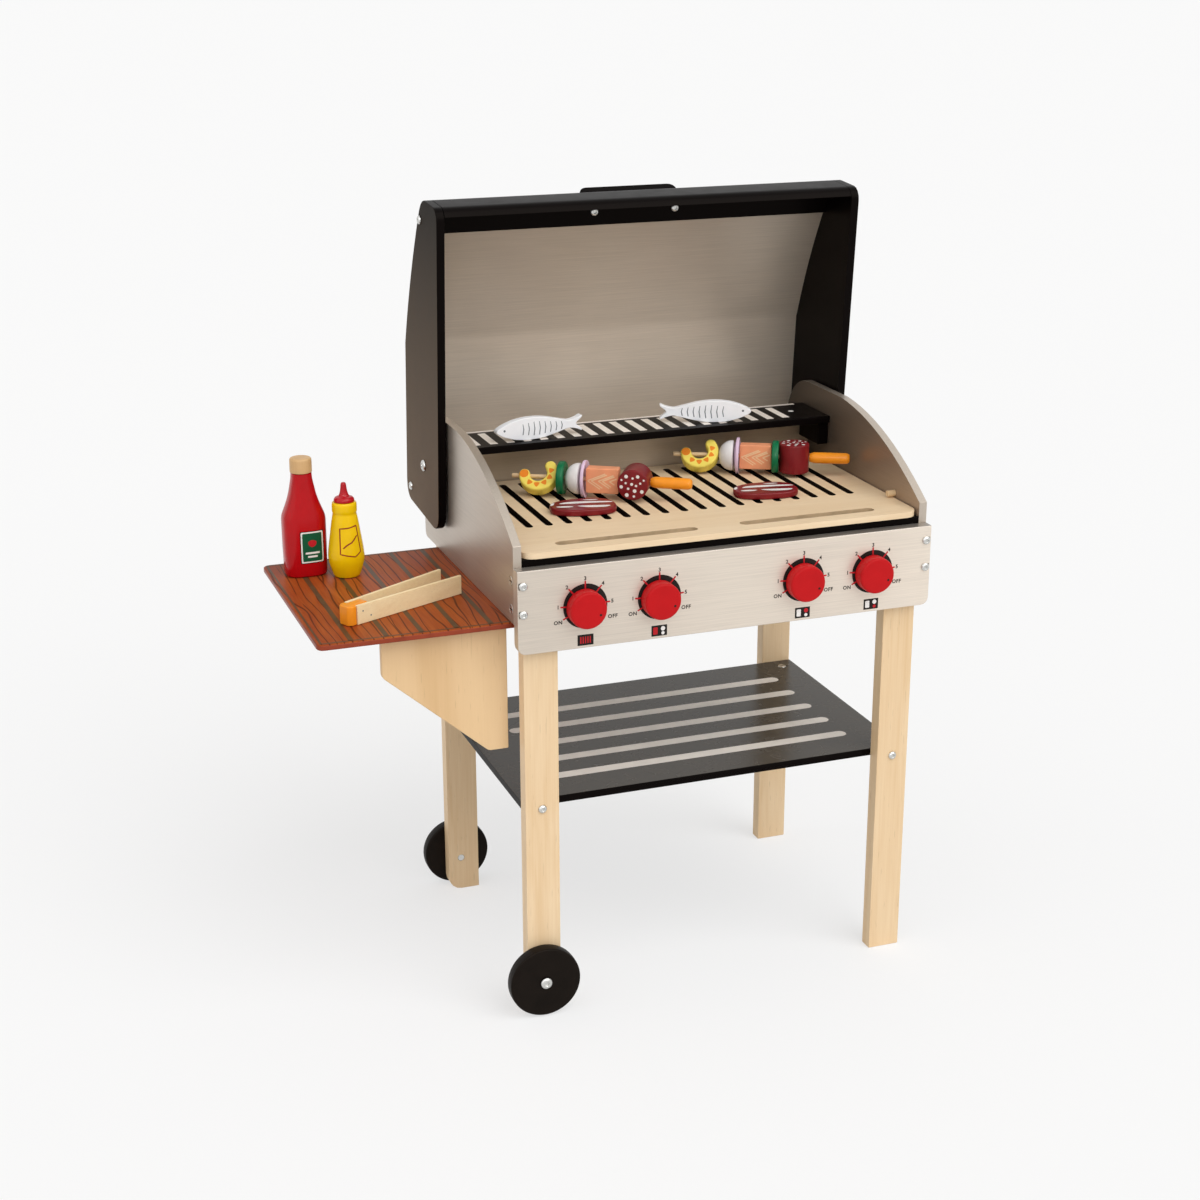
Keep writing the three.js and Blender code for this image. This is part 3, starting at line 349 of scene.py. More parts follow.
@dataclass(frozen=True)
class Paint:
    """Opaque paint on wood, with faint mottling and an orange-peel surface.

    Attributes:
        name: The material's name.
        colour: Its colour.
        roughness: Its roughness.
        coat: The weight of its clear coat.
        variation: How much its colour varies.
        peel: The depth of its surface in millimetres.
        sheen: The strength of its reflections.
        tint: Their colour.
        painted_light_ramp: What its colour is multiplied by at the low and the high end of an axis, as
            painted light and shade.
    """

    name: str
    colour: Colour
    roughness: float = 0.38
    coat: float = 0.2
    variation: float = 0.1
    peel: float = 0.02
    sheen: float = 0.2
    tint: Colour = (1.0, 0.94, 0.88)
    painted_light_ramp: tuple[Axis, float, float] = (Axis.Z, 1.0, 1.0)

    def material(self) -> bpy.types.Material:
        """Build the paint from mottling and a fine uneven surface, with any painted light and shade from
        end to end.

        Returns:
            The material.
        """
        shader = Shader(self.name)
        mottle = shader.noise(shader.even(60.0), 4.0, 0.5)
        grain = shader.noise(shader.even(700.0), 2.0)
        dark, pale = (toned(self.colour, 1.0 + by) for by in (-self.variation, self.variation))
        colour = shader.mixed(shader.varied(mottle, 0.0, 1.0), dark, pale)
        shader.relief(grain, self.peel, 0.6)
        uneven = 0.25 * self.variation
        # The colour is multiplied from end to end here, as painted light and shade.
        return shader.dress(
            base_color=shader.painted_shading(colour, *self.painted_light_ramp),
            roughness=shader.varied(mottle, self.roughness - uneven, self.roughness + uneven),
            coat_weight=self.coat,
            coat_roughness=0.16,
            specular_ior_level=self.sheen,
            specular_tint=self.tint,
        )


@dataclass(frozen=True)
class Zinc:
    """Bright zinc plate on steel.

    Attributes:
        name: The material's name.
        colour: Its colour.
    """

    name: str = "zinc_plate"
    colour: Colour = (0.62, 0.62, 0.6)

    def material(self) -> bpy.types.Material:
        """Build plate with small scuffs and colour blooms.

        Returns:
            The material.
        """
        shader = Shader(self.name)
        bloom = shader.noise(shader.even(350.0), 3.0, 0.8)
        scuffs = shader.noise(shader.stretched(2500.0, 900.0, 2500.0), 2.0)
        colour = shader.mixed(bloom, toned(self.colour, 0.78), toned(self.colour, 1.2))
        shader.relief(scuffs, 0.02, 0.5)
        worn = shader.varied(scuffs, 0.2, 0.4)
        return shader.dress(base_color=colour, metallic=1.0, roughness=worn)


@dataclass(frozen=True)
class PrintedPlanks:
    """Red-brown planks with dark grain lines, printed on the table top.

    Attributes:
        name: The material's name.
        colour: The colour of the darkest plank.
        bright: The colour of the brightest plank.
        line: The colour of the grain lines.
        pitch: The distance in millimetres from plank to plank.
    """

    name: str
    colour: Colour
    bright: Colour
    line: Colour
    pitch: float

    def material(self) -> bpy.types.Material:
        """Build planks that each have their own tone and their own wandering grain lines.

        Returns:
            The material.
        """
        shader = Shader(self.name)
        place = shader.even(1.0)
        parts = shader.add("SeparateXYZ", {0: place})
        plank = shader.worked("FLOOR", shader.worked("DIVIDE", parts.outputs[0], self.pitch * MM))
        chance = shader.add("TexWhiteNoise", {"W": plank}, noise_dimensions="1D")
        shifted = shader.add(
            "VectorMath", {0: shader.stretched(1.0, 0.3, 1.0), 1: chance.outputs[1]}, operation="ADD"
        )
        inputs = {"Vector": shifted.outputs[0], "Scale": 40.0, "Distortion": 9.0, "Detail": 1.5}
        inputs["Detail Scale"] = 0.7
        waves = shader.add("TexWave", inputs, wave_type="BANDS", bands_direction="X")
        lines = shader.spread(waves.outputs[1], 0.01, 0.09, 1.0, 0.0)
        clouds = shader.noise(shader.stretched(30.0, 11.0, 30.0), 3.0, 1.0)
        streaks = shader.noise(shader.stretched(700.0, 28.0, 700.0), 3.0)
        cloudy = shader.worked("MULTIPLY", clouds, 0.75)
        warmth = shader.worked("MULTIPLY_ADD", chance.outputs[0], 0.35, cloudy)
        wood = shader.mixed(shader.spread(warmth, 0.25, 0.85, 0.0, 1.0), self.colour, self.bright)
        streaky = shader.spread(streaks, 0.35, 0.7, 0.0, 0.35)
        streaked = shader.mixed(streaky, wood, toned(self.colour, 0.6))
        shader.relief(streaks, 0.02, 0.4)
        return shader.dress(
            base_color=shader.mixed(shader.worked("MULTIPLY", lines, 0.75), streaked, self.line),
            roughness=shader.varied(clouds, 0.34, 0.46),
            specular_ior_level=0.07,
        )


Finish = Timber | SilverPaint | Paint | Zinc | PrintedPlanks

LEG_BIRCH = Timber("birch_legs", (0.84, 0.64, 0.41), (0.73, 0.5, 0.27), Axis.Z)
PLATE_BIRCH = Timber("birch_plate", (0.9, 0.71, 0.48), (0.81, 0.6, 0.37), Axis.X)
TURNED_BIRCH = Timber("birch_turned", (0.72, 0.47, 0.22), (0.58, 0.34, 0.14), Axis.Z)
PEG_BIRCH = Timber("birch_pegs", (0.8, 0.6, 0.36), (0.66, 0.45, 0.24), Axis.X)
PLYWOOD = Timber("plywood_bracket", (0.8, 0.56, 0.31), (0.66, 0.42, 0.2), Axis.Z, 0.85, 15.0, 0.12)
BLADE_PLY = Timber("plywood_blades", (0.96, 0.79, 0.49), (0.86, 0.66, 0.37), Axis.X)
# The front panel is painted lighter towards its right end: painted light.
PANEL_SILVER = SilverPaint("silver_panel", (0.71, 0.63, 0.54), Axis.X, 0.6, 0.38, (Axis.X, 0.92, 1.12))
# The panel's upper edge is the same silver painted much darker: painted shade.
PANEL_TOP_PAINTED_SHADE = SilverPaint("silver_panel_top", (0.3, 0.27, 0.24), Axis.X, 0.6, 0.38)
SIDE_SILVER = SilverPaint("silver_sides", (0.54, 0.47, 0.395), Axis.Y, 0.75, 0.36)
# The side panels' inner faces are the same silver painted darker, and darker still towards the back:
# painted shade.
SIDE_INSIDE_PAINTED_SHADE = SilverPaint(
    "silver_sides_inside", (0.31, 0.235, 0.175), Axis.Y, 0.5, 0.38, (Axis.Y, 1.4, 0.15)
)
BACK_SILVER = SilverPaint("silver_back", (0.5, 0.41, 0.31), Axis.X, 0.5, 0.42)
# The hood sheet is painted lighter at the bottom and darker at the top: painted light and shade.
HOOD_SILVER = SilverPaint("silver_hood", (0.65, 0.565, 0.47), Axis.X, 0.48, 0.38, (Axis.Z, 1.38, 0.85))
HOOD_OUTSIDE = SilverPaint("silver_hood_outside", (0.5, 0.44, 0.37), Axis.X, 0.25, 0.55)
WARM_TINT = (1.0, 0.87, 0.75)
BLACK = Paint("satin_black", (0.003, 0.002, 0.002), 0.34, 0.0, 0.1, 0.008, 0.04, WARM_TINT)
# The hood side panels' outer faces are the black paint made lighter, most near the bottom: painted sheen,
# and painted shade towards the top.
HOOD_SIDES_PAINTED_LIGHT = Paint(
    "satin_black_sides",
    (0.034, 0.024, 0.016),
    roughness=0.5,
    coat=0.0,
    variation=0.05,
    peel=0.008,
    sheen=0.03,
    painted_light_ramp=(Axis.Z, 5.0, 0.35),
)
WHEEL_BLACK = Paint("wheel_black", (0.006, 0.004, 0.003), 0.42, 0.0, 0.25, 0.03, 0.1, WARM_TINT)
SHELF_GREY = Paint("shelf_grey", (0.052, 0.044, 0.034), 0.26, 0.0, 0.15, 0.01, 0.18, (1.0, 0.9, 0.78))
STRIPE_GREY = Paint("stripe_grey", (0.88, 0.81, 0.73), 0.38, 0.0, 0.06, 0.01, 0.4)
# The walls of the plate's long slots are dark partly as laser char and partly as painted shade.
SLOT_CHAR_AND_SHADE = Paint("cut_black", (0.014, 0.009, 0.006), 0.7, 0.0, 0.3, 0.03, 0.1)
# The walls of the plate's grips are the birch painted darker: painted shade.
GRIP_PAINTED_SHADE = Paint("cut_brown", (0.56, 0.4, 0.24), 0.7, 0.0, 0.2, 0.03, 0.1)
TABLE_PLANKS = PrintedPlanks(
    "table_planks", (0.27, 0.036, 0.008), (0.46, 0.12, 0.022), (0.03, 0.01, 0.005), pitch=28.5
)
TABLE_EDGE = Paint("table_edge", (0.27, 0.045, 0.018), 0.36, 0.0, 0.15)
TABLE_STRIPE = Paint("table_stripe", (0.105, 0.055, 0.022), 0.4, 0.0, 0.2, 0.02, 0.14)
ZINC = Zinc()
KNOB_RED = Paint("knob_red", (0.5, 0.006, 0.009), 0.42, 0.0, 0.05, 0.02, 0.14)
KETCHUP_RED = Paint("ketchup_red", (0.45, 0.002, 0.006), 0.2, 0.15, 0.05, 0.01, 0.16)
MUSTARD_YELLOW = Paint("mustard_yellow", (0.9, 0.58, 0.002), 0.22, 0.15, 0.04, 0.01, 0.16)
CAP_RED = Paint("cap_red", (0.44, 0.005, 0.012), 0.24, 0.2, 0.06)
ORANGE = Paint("orange", (0.89, 0.3, 0.015), 0.3, 0.12, 0.06)
FISH_WHITE = Paint("fish_white", (0.92, 0.93, 0.96), 0.36, 0.05, 0.03, 0.02, 0.4)
STEAK_RED = Paint("steak_red", (0.2, 0.008, 0.012), 0.3, 0.12, 0.12)
PRAWN_YELLOW = Paint("prawn_yellow", (0.9, 0.72, 0.13), 0.4, 0.0, 0.08)
PEPPER_GREEN = Paint("pepper_green", (0.003, 0.15, 0.055), 0.32, 0.1, 0.12)
MUSHROOM_WHITE = Paint("mushroom_white", (0.82, 0.79, 0.78), 0.42, 0.0, 0.05)
ONION_LILAC = Paint("onion_lilac", (0.74, 0.55, 0.7), 0.4, 0.0, 0.06)
SALMON_PINK = Paint("salmon_pink", (0.86, 0.35, 0.18), 0.42, 0.0, 0.08)
SALAMI_RED = Paint("salami_red", (0.2, 0.01, 0.014), 0.34, 0.08, 0.12)
INK_BLACK = Paint("ink_black", (0.01, 0.008, 0.007), 0.5, 0.0, 0.2, 0.01)
INK_RED = Paint("ink_red", (0.5, 0.012, 0.02), 0.5, 0.0, 0.1, 0.01)
INK_WHITE = Paint("ink_white", (0.82, 0.8, 0.77), 0.5, 0.0, 0.04, 0.01)
INK_GREY = Paint("ink_grey", (0.16, 0.18, 0.2), 0.5, 0.0, 0.1, 0.01)
INK_GREEN = Paint("ink_green", (0.004, 0.085, 0.035), 0.45, 0.0, 0.12, 0.01)
INK_BROWN = Paint("ink_brown", (0.3, 0.035, 0.01), 0.5, 0.0, 0.1, 0.01)
INK_ORANGE = Paint("ink_orange", (0.82, 0.24, 0.02), 0.5, 0.0, 0.08, 0.01)
INK_PEACH = Paint("ink_peach", (0.9, 0.58, 0.34), 0.5, 0.0, 0.05, 0.01)

_made: dict[Finish, bpy.types.Material] = {}


def finish_of(finish: Finish) -> bpy.types.Material:
    """Give a finish's material, building it the first time.

    Args:
        finish: The finish.

    Returns:
        The one material of that finish.
    """
    if finish not in _made:
        _made[finish] = finish.material()
    return _made[finish]


# Places


def bench_corner() -> Vector:
    """Find the front left corner of the firebox on the floor, in the frame."""
    low, _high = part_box("left_side_panel")
    return Vector((low.x, low.y - SIDE_PANEL_FRONT * MM, 0.0))


CORNER = bench_corner()


def bench(x: float, y: float, z: float) -> Matrix:
    """Give the place of a point in millimetres as a matrix that also turns millimetres into metres."""
    return Matrix.Translation(CORNER + Vector((x, y, z)) * MM) @ Matrix.Scale(MM, 4)


def turn(degrees: float, axis: Axis) -> Matrix:
    """Give a turn about one axis."""
    return Matrix.Rotation(math.radians(degrees), 4, axis.name)


def shift(x: float, y: float, z: float) -> Matrix:
    """Give a move in millimetres inside a place."""
    return Matrix.Translation((x, y, z))


FACES_FRONT = turn(90, Axis.X)
FACES_LEFT = turn(-90, Axis.Z) @ turn(90, Axis.X)
FACES_RIGHT = turn(90, Axis.Z) @ turn(90, Axis.X)
FACES_BACK = turn(180, Axis.Z) @ turn(90, Axis.X)


# Outlines


def heading(degrees: float) -> Vector:
    """Give the direction an angle points in."""
    angle = math.radians(degrees)
    return Vector((math.cos(angle), math.sin(angle)))


def arc(cx: float, cy: float, radius: float, start: float, end: float, steps: int) -> Outline:
    """Give the points of an arc.

    Args:
        cx: Its centre across.
        cy: Its centre upwards.
        radius: Its radius.
        start: The angle in degrees it starts at.
        end: The angle in degrees it ends at.
        steps: The steps from end to end.

    Returns:
        Its points in order, with both ends.
    """
    angles = [math.radians(start + (end - start) * step / steps) for step in range(steps + 1)]
    return [(cx + radius * math.cos(angle), cy + radius * math.sin(angle)) for angle in angles]


def rounded_box(cx: float, cy: float, width: float, height: float, radius: float) -> Outline:
    """Give a rectangle with round corners.

    Args:
        cx: Its middle across.
        cy: Its middle upwards.
        width: Its size across.
        height: Its size upwards.
        radius: The radius of its corners.

    Returns:
        Its points in order.
    """
    outline = []
    corners = ((1, 1, 0), (-1, 1, 90), (-1, -1, 180), (1, -1, 270))
    for way_x, way_y, start in corners:
        x = cx + way_x * (width / 2 - radius)
        y = cy + way_y * (height / 2 - radius)
        outline += arc(x, y, radius, start, start + 90, 6)
    return outline


def disc(cx: float, cy: float, radius: float, steps: int = 28) -> Outline:
    """Give a circle."""
    return arc(cx, cy, radius, 0, 360, steps)[:-1]


def stroke(x0: float, y0: float, x1: float, y1: float, width: float, taper: float = 1.0) -> Outline:
    """Give a straight stroke with round ends.

    Args:
        x0: Its start across.
        y0: Its start upwards.
        x1: Its end across.
        y1: Its end upwards.
        width: Its width at the start.
        taper: The share of that width left at the end.

    Returns:
        Its points in order.
    """
    way = math.degrees(math.atan2(y1 - y0, x1 - x0))
    far_end = arc(x1, y1, width / 2 * taper, way - 90, way + 90, 8)
    return far_end + arc(x0, y0, width / 2, way + 90, way + 270, 8)


def rounded_square(angle: float, power: float) -> Spot:
    """Give the point of a rounded square at an angle; a power of 1 makes it a circle."""
    parts = (math.cos(angle), math.sin(angle))
    return tuple(math.copysign(abs(part) ** power, part) for part in parts)


def smoothed(corners: Sequence[Spot], steps: int = 8) -> Outline:
    """Give a closed smooth line through corners.

    Args:
        corners: What it passes through, in order.
        steps: How many points it has from one corner to the next.

    Returns:
        Its points in order.
    """
    count = len(corners)
    outline = []
    for index in range(count):
        before, start, end, after = (Vector(corners[(index + step) % count]) for step in (-1, 0, 1, 2))
        for step in range(steps):
            t = step / steps
            spot = (
                start * 2
                + (end - before) * t
                + (before * 2 - start * 5 + end * 4 - after) * t**2
                + (start * 3 - before - end * 3 + after) * t**3
            ) / 2
            outline.append((spot.x, spot.y))
    return outline


# Meshes


def flat(mesh: bmesh.types.BMesh, outline: Sequence[Spot], place: Matrix) -> None:
    """Add a flat patch of print."""
    mesh.faces.new([mesh.verts.new(place @ Vector((x, y, 0.0))) for x, y in outline])


def eased(profile: Sequence[tuple[float, ...]], steps: int = 5) -> list[Spot]:
    """Round some corners of a profile.

    Args:
        profile: Pairs of radius and height, with the size of its rounding as a third number for a
            corner that has one.
        steps: How many steps a rounding has.

    Returns:
        The profile as pairs.
    """
    line = []
    for index, entry in enumerate(profile):
        if len(entry) < 3 or index in (0, len(profile) - 1):
            line.append(entry[:2])
            continue
        here = Vector(entry[:2])
        back = Vector(profile[index - 1][:2]) - here
        ahead = Vector(profile[index + 1][:2]) - here
        start = here + back.normalized() * min(entry[2], back.length / 2)
        end = here + ahead.normalized() * min(entry[2], ahead.length / 2)
        for step in range(steps + 1):
            t = step / steps
            spot = start * (1 - t) ** 2 + here * 2 * t * (1 - t) + end * t**2
            line.append((spot.x, spot.y))
    return line


def letters(mesh: bmesh.types.BMesh, text: str, size: float, place: Matrix) -> None:
    """Add plain lettering.

    Args:
        mesh: The mesh to add to.
        text: The figure or word.
        size: Its size in millimetres.
        place: Where its middle lies.
    """
    curve = bpy.data.curves.new("lettering", "FONT")
    curve.body = text
    curve.size = size
    curve.align_x = "CENTER"
    curve.align_y = "CENTER"
    curve.resolution_u = 3
    curve.offset = 0.13
    curve.space_character = 1.12
    holder = bpy.data.objects.new("lettering", curve)
    flat_text = bpy.data.meshes.new_from_object(holder)
    flat_text.transform(place)
    mesh.from_mesh(flat_text)
    bpy.data.objects.remove(holder)


def shown(name: str, mesh: bmesh.types.BMesh, finishes: Sequence[Finish]) -> bpy.types.Object:
    """Put a mesh into the scene as an object, and report it.

    Args:
        name: The object's name.
        mesh: Its mesh, which is used up.
        finishes: Its finishes, in the order of the faces' numbers.

    Returns:
        The object.
    """
    data = bpy.data.meshes.new(name)
    mesh.to_mesh(data)
    mesh.free()
    for finish in finishes:
        data.materials.append(finish_of(finish))
    made = bpy.data.objects.new(name, data)
    bpy.context.scene.collection.objects.link(made)
    LOG.info("piece %s in %s", name, finishes[0].name)
    return made


@dataclass
class Piece:
    """One visible piece: its mesh, its finish and what it rides on.

    Attributes:
        name: Its name.
        finish: The finish of its faces.
        body: The body it rides on.
        slot: Its material slot in the record, where it has one; not used.
        stands_for: The CAD nodes it takes the place of.
        edge: The width of its softened edges, where it has them.
        edge_steps: The facets of a softened edge.
        sharp: The angle in degrees from which a bend is an edge.
        others: Finishes for faces with numbers from 1 up.
        mesh: The mesh it is built in.
    """

    name: str
    finish: Finish
    body: str
    slot: str | None = None
    stands_for: tuple[str, ...] = ()
    edge: float = 0.0
    edge_steps: int = 3
    sharp: float = 34.0
    others: tuple[Finish, ...] = ()
    mesh: bmesh.types.BMesh = field(default_factory=bmesh.new)

    def join(self, rings: Sequence[list[bmesh.types.BMVert]]) -> None:
        """Lay faces from each ring of corners to the next.

        Args:
            rings: Rings with as many corners each, or with one where an end is closed.
        """
        sides = max(len(ring) for ring in rings)
        for below, above in zip(rings, rings[1:]):
            for side in range(sides):
                after = (side + 1) % sides
                corners = []
                for ring, order in ((below, (side, after)), (above, (after, side))):
                    corners += ring if len(ring) == 1 else [ring[step] for step in order]
                self.mesh.faces.new(corners)

    def extruded(self, outline: Sequence[Spot], depth: float, place: Matrix) -> "Piece":
        """Add an outline drawn in x and y and carried along z.

        Args:
            outline: Its points in order.
            depth: How far it is carried.
            place: Where it is drawn.

        Returns:
            The piece itself.
        """
        mesh = self.mesh
        low = [mesh.verts.new(place @ Vector((x, y, 0.0))) for x, y in outline]
        high = [mesh.verts.new(place @ Vector((x, y, depth))) for x, y in outline]
        mesh.faces.new(low[::-1])
        mesh.faces.new(high)
        self.join((low, high))
        return self

    def turned(
        self, profile: Sequence[Spot], place: Matrix, sides: int = 64, socket: float = 0.0
    ) -> "Piece":
        """Turn a profile about z.

        Args:
            profile: Pairs of radius and height, from the foot up; a radius of 0 closes the end.
            place: Where the axis starts and points.
            sides: Steps round the turn.
            socket: Radius of a hexagon socket; rings up to that radius are drawn as hexagons.

        Returns:
            The piece itself.
        """
        rings = []
        for radius, height in profile:
            ring = []
            for side in range(sides if radius else 1):
                angle = TAU * side / sides
                reach = radius
                if radius <= socket:
                    facet = angle % (TAU / 6) - TAU / 12
                    reach = radius / math.cos(facet)
                spot = Vector((reach * math.cos(angle), reach * math.sin(angle), height))
                ring.append(self.mesh.verts.new(place @ spot))
            rings.append(ring)
        self.join(rings)
        return self

    def done(self) -> bpy.types.Object:
        """Turn the mesh into an object that rides on its body.

        Returns:
            The finished object.
        """
        bmesh.ops.recalc_face_normals(self.mesh, faces=self.mesh.faces)
        made = shown(self.name, self.mesh, (self.finish, *self.others))
        made.data.shade_smooth()
        if self.edge:
            bevel = made.modifiers.new("edges", "BEVEL")
            bevel.width = self.edge * MM
            bevel.segments = self.edge_steps
            bevel.limit_method = "ANGLE"
            bevel.angle_limit = math.radians(self.sharp)
            shading = made.modifiers.new("shading", "WEIGHTED_NORMAL")
            shading.weight = 100
        else:
            made.data.set_sharp_from_angle(angle=math.radians(self.sharp))
        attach(made, self.body)
        if self.stands_for:
            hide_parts(*self.stands_for)
        return made


@dataclass
class Print:
    """Flat printed shapes, lifted a hair off the surface that carries them.

    Attributes:
        name: The print's name.
        finish: Its ink.
        body: The body it rides on.
        place: Where its shapes are drawn.
        slot: Its material slot in the record, where it has one; not used.
        mesh: The mesh it is built in.
    """

    name: str
    finish: Finish
    body: str
    place: Matrix
    slot: str | None = None
    mesh: bmesh.types.BMesh = field(default_factory=bmesh.new)

    def __post_init__(self) -> None:
        """Lift the print off its surface."""
        self.place = self.place @ shift(0, 0, PRINT_HEIGHT)

    def shapes(self, outlines: Iterable[Sequence[Spot]]) -> "Print":
        """Add filled shapes.

        Args:
            outlines: The points of each shape in order.

        Returns:
            The print itself.
        """
        for outline in outlines:
            flat(self.mesh, outline, self.place)
        return self

    def done(self) -> bpy.types.Object:
        """Turn the shapes into an object that rides on its body.

        Returns:
            The finished object.
        """
        made = shown(self.name, self.mesh, (self.finish,))
        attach(made, self.body)
        return made


def framed_box(low: Sequence[float], high: Sequence[float]) -> tuple[Vector, Vector]:
    """Give the corners of a box in the frame from bench millimetres."""
    return bench(*low) @ Vector((0, 0, 0)), bench(*high) @ Vector((0, 0, 0))


def below_top(_middle: Vector, normal: Vector) -> int:
    """Give 1 for a face that isn't a board's top."""
    return int(normal.z < HALF_FACING)


def board(
    node: str,
    finish: Finish,
    body: str,
    slot: str,
    edge: float = 0.7,
    keep: tuple[Vector, Vector] | None = None,
    inside: Matrix | None = None,
    others: tuple[Finish, ...] = (),
    choose: Callable[[Vector, Vector], int] | None = None,
) -> bpy.types.Object:
    """Finish a flat board from its CAD node, with softened edges.

    Args:
        node: The CAD node, which the board stands for.
        finish: Its finish.
        body: The body it rides on.
        slot: Its material slot in the record.
        edge: Width of the softened edge.
        keep: Lowest and highest corner of the board itself; what is fused outside it is left off.
        inside: The place in which those corners are given, where it isn't the frame.
        others: Other finishes for some of its faces.
        choose: Gives a face's finish by its number, 0 for the first, from the face's middle in bench
            millimetres and its normal.

    Returns:
        The finished board.
    """
    piece = Piece(f"{node}_board", finish, body, slot, (node,), edge, others=others)
    mesh = piece.mesh
    mesh.from_mesh(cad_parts[node].data)
    bmesh.ops.remove_doubles(mesh, verts=mesh.verts, dist=SAME_SPOT)
    if keep:
        back = inside.inverted() if inside else Matrix.Identity(4)
        slack = KEEP_SLACK if inside else KEEP_SLACK * MM
        low, high = keep
        outside = [
            face
            for face in mesh.faces
            if any(
                at < floor - slack or at > roof + slack
                for at, floor, roof in zip(back @ face.calc_center_median(), low, high)
            )
        ]
        bmesh.ops.delete(mesh, geom=outside, context="FACES")
    bmesh.ops.dissolve_limit(mesh, angle_limit=FLAT_ANGLE, verts=mesh.verts, edges=mesh.edges)
    if choose:
        mesh.normal_update()
        for face in mesh.faces:
            middle = (face.calc_center_median() - CORNER) / MM
            face.material_index = choose(middle, face.normal)
    return piece.done()


@dataclass(frozen=True)
class Fastener:
    """A domed bolt head with a hexagon socket."""

    diameter: float = 7.4
    height: float = 2.2
    socket: float = 1.5

    def add(self, name: str, body: str, places: Sequence[Matrix]) -> None:
        """Put one head at each place.

        Args:
            name: The name of the piece that holds the heads.
            body: The body it rides on.
            places: Where the heads sit, their z pointing out of the board.
        """
        piece = Piece(name, ZINC, body, "zinc")
        radius, crown, socket = self.diameter / 2, self.height, self.socket
        dome = ((0.9, 0.0), (1.0, 0.12), (0.985, 0.34), (0.9, 0.62), (0.74, 0.86), (0.56, 0.98))
        profile = [(0, 0.05), *((radius * out, crown * up) for out, up in dome)]
        profile += [(socket + 0.22, crown), (socket, crown - 0.12), (socket * 0.98, crown * 0.35)]
        profile.append((0, crown * 0.28))
        for place in places:
            piece.turned(profile, place, 36, socket)
        piece.done()


def barrel_nuts(name: str, body: str, places: Sequence[Matrix]) -> None:
    """Put the slotted end of a barrel nut at each place, its slot drawn as a black print that is painted
    shade.

    Args:
        name: The name of the piece that holds the nuts.
        body: The body it rides on.
        places: Where the nuts end, their z pointing out of the board.
    """
    radius, depth, chamfer = 4.0, 4.0, 0.35
    half_slot, slot_width = radius * 0.68, 1.1
    piece = Piece(name, ZINC, body, "zinc")
    # The slot is a flat black print: painted shade in place of a groove.
    painted_slot_shade = Print(f"{name}_slots", INK_BLACK, body, Matrix.Identity(4))
    profile = [(0, -depth), (radius, -depth), (radius, -chamfer), (radius - chamfer, 0), (0, 0)]
    for place in places:
        piece.turned(profile, place, 36)
        slit = place @ shift(0, 0, PRINT_HEIGHT)
        flat(painted_slot_shade.mesh, stroke(-half_slot, 0, half_slot, 0, slot_width), slit)
    piece.done()
    painted_slot_shade.done()


# The grill's sub-assemblies


@dataclass
class Legs:
    """Four legs with their bolts."""

    width: float = 29.0
    depth: float = 13.0
    height: float = 394.4
    left: float = 7.3
    right: float = 329.7
    front: float = 10.3
    back: float = 252.5
    shelf_bolt: float = 186.75

    def build(self) -> None:
        """Dress the legs and put heads on their shelf bolts."""
        heads = []
        rows = (("front", self.front), ("back", self.back))
        columns = (("left", self.left), ("right", self.right))
        for row, y in rows:
            for column, x in columns:
                keep = framed_box((x, y, 0), (x + self.width, y + self.depth, self.height))
                board(f"{row}_{column}_leg", LEG_BIRCH, "frame", "birch", 0.9, keep)
                face = y if row == "front" else y + self.depth
                facing = FACES_FRONT if row == "front" else FACES_BACK
                heads.append(bench(x + self.width / 2, face, self.shelf_bolt) @ facing)
        Fastener().add("shelf_bolt_heads", "frame", heads)


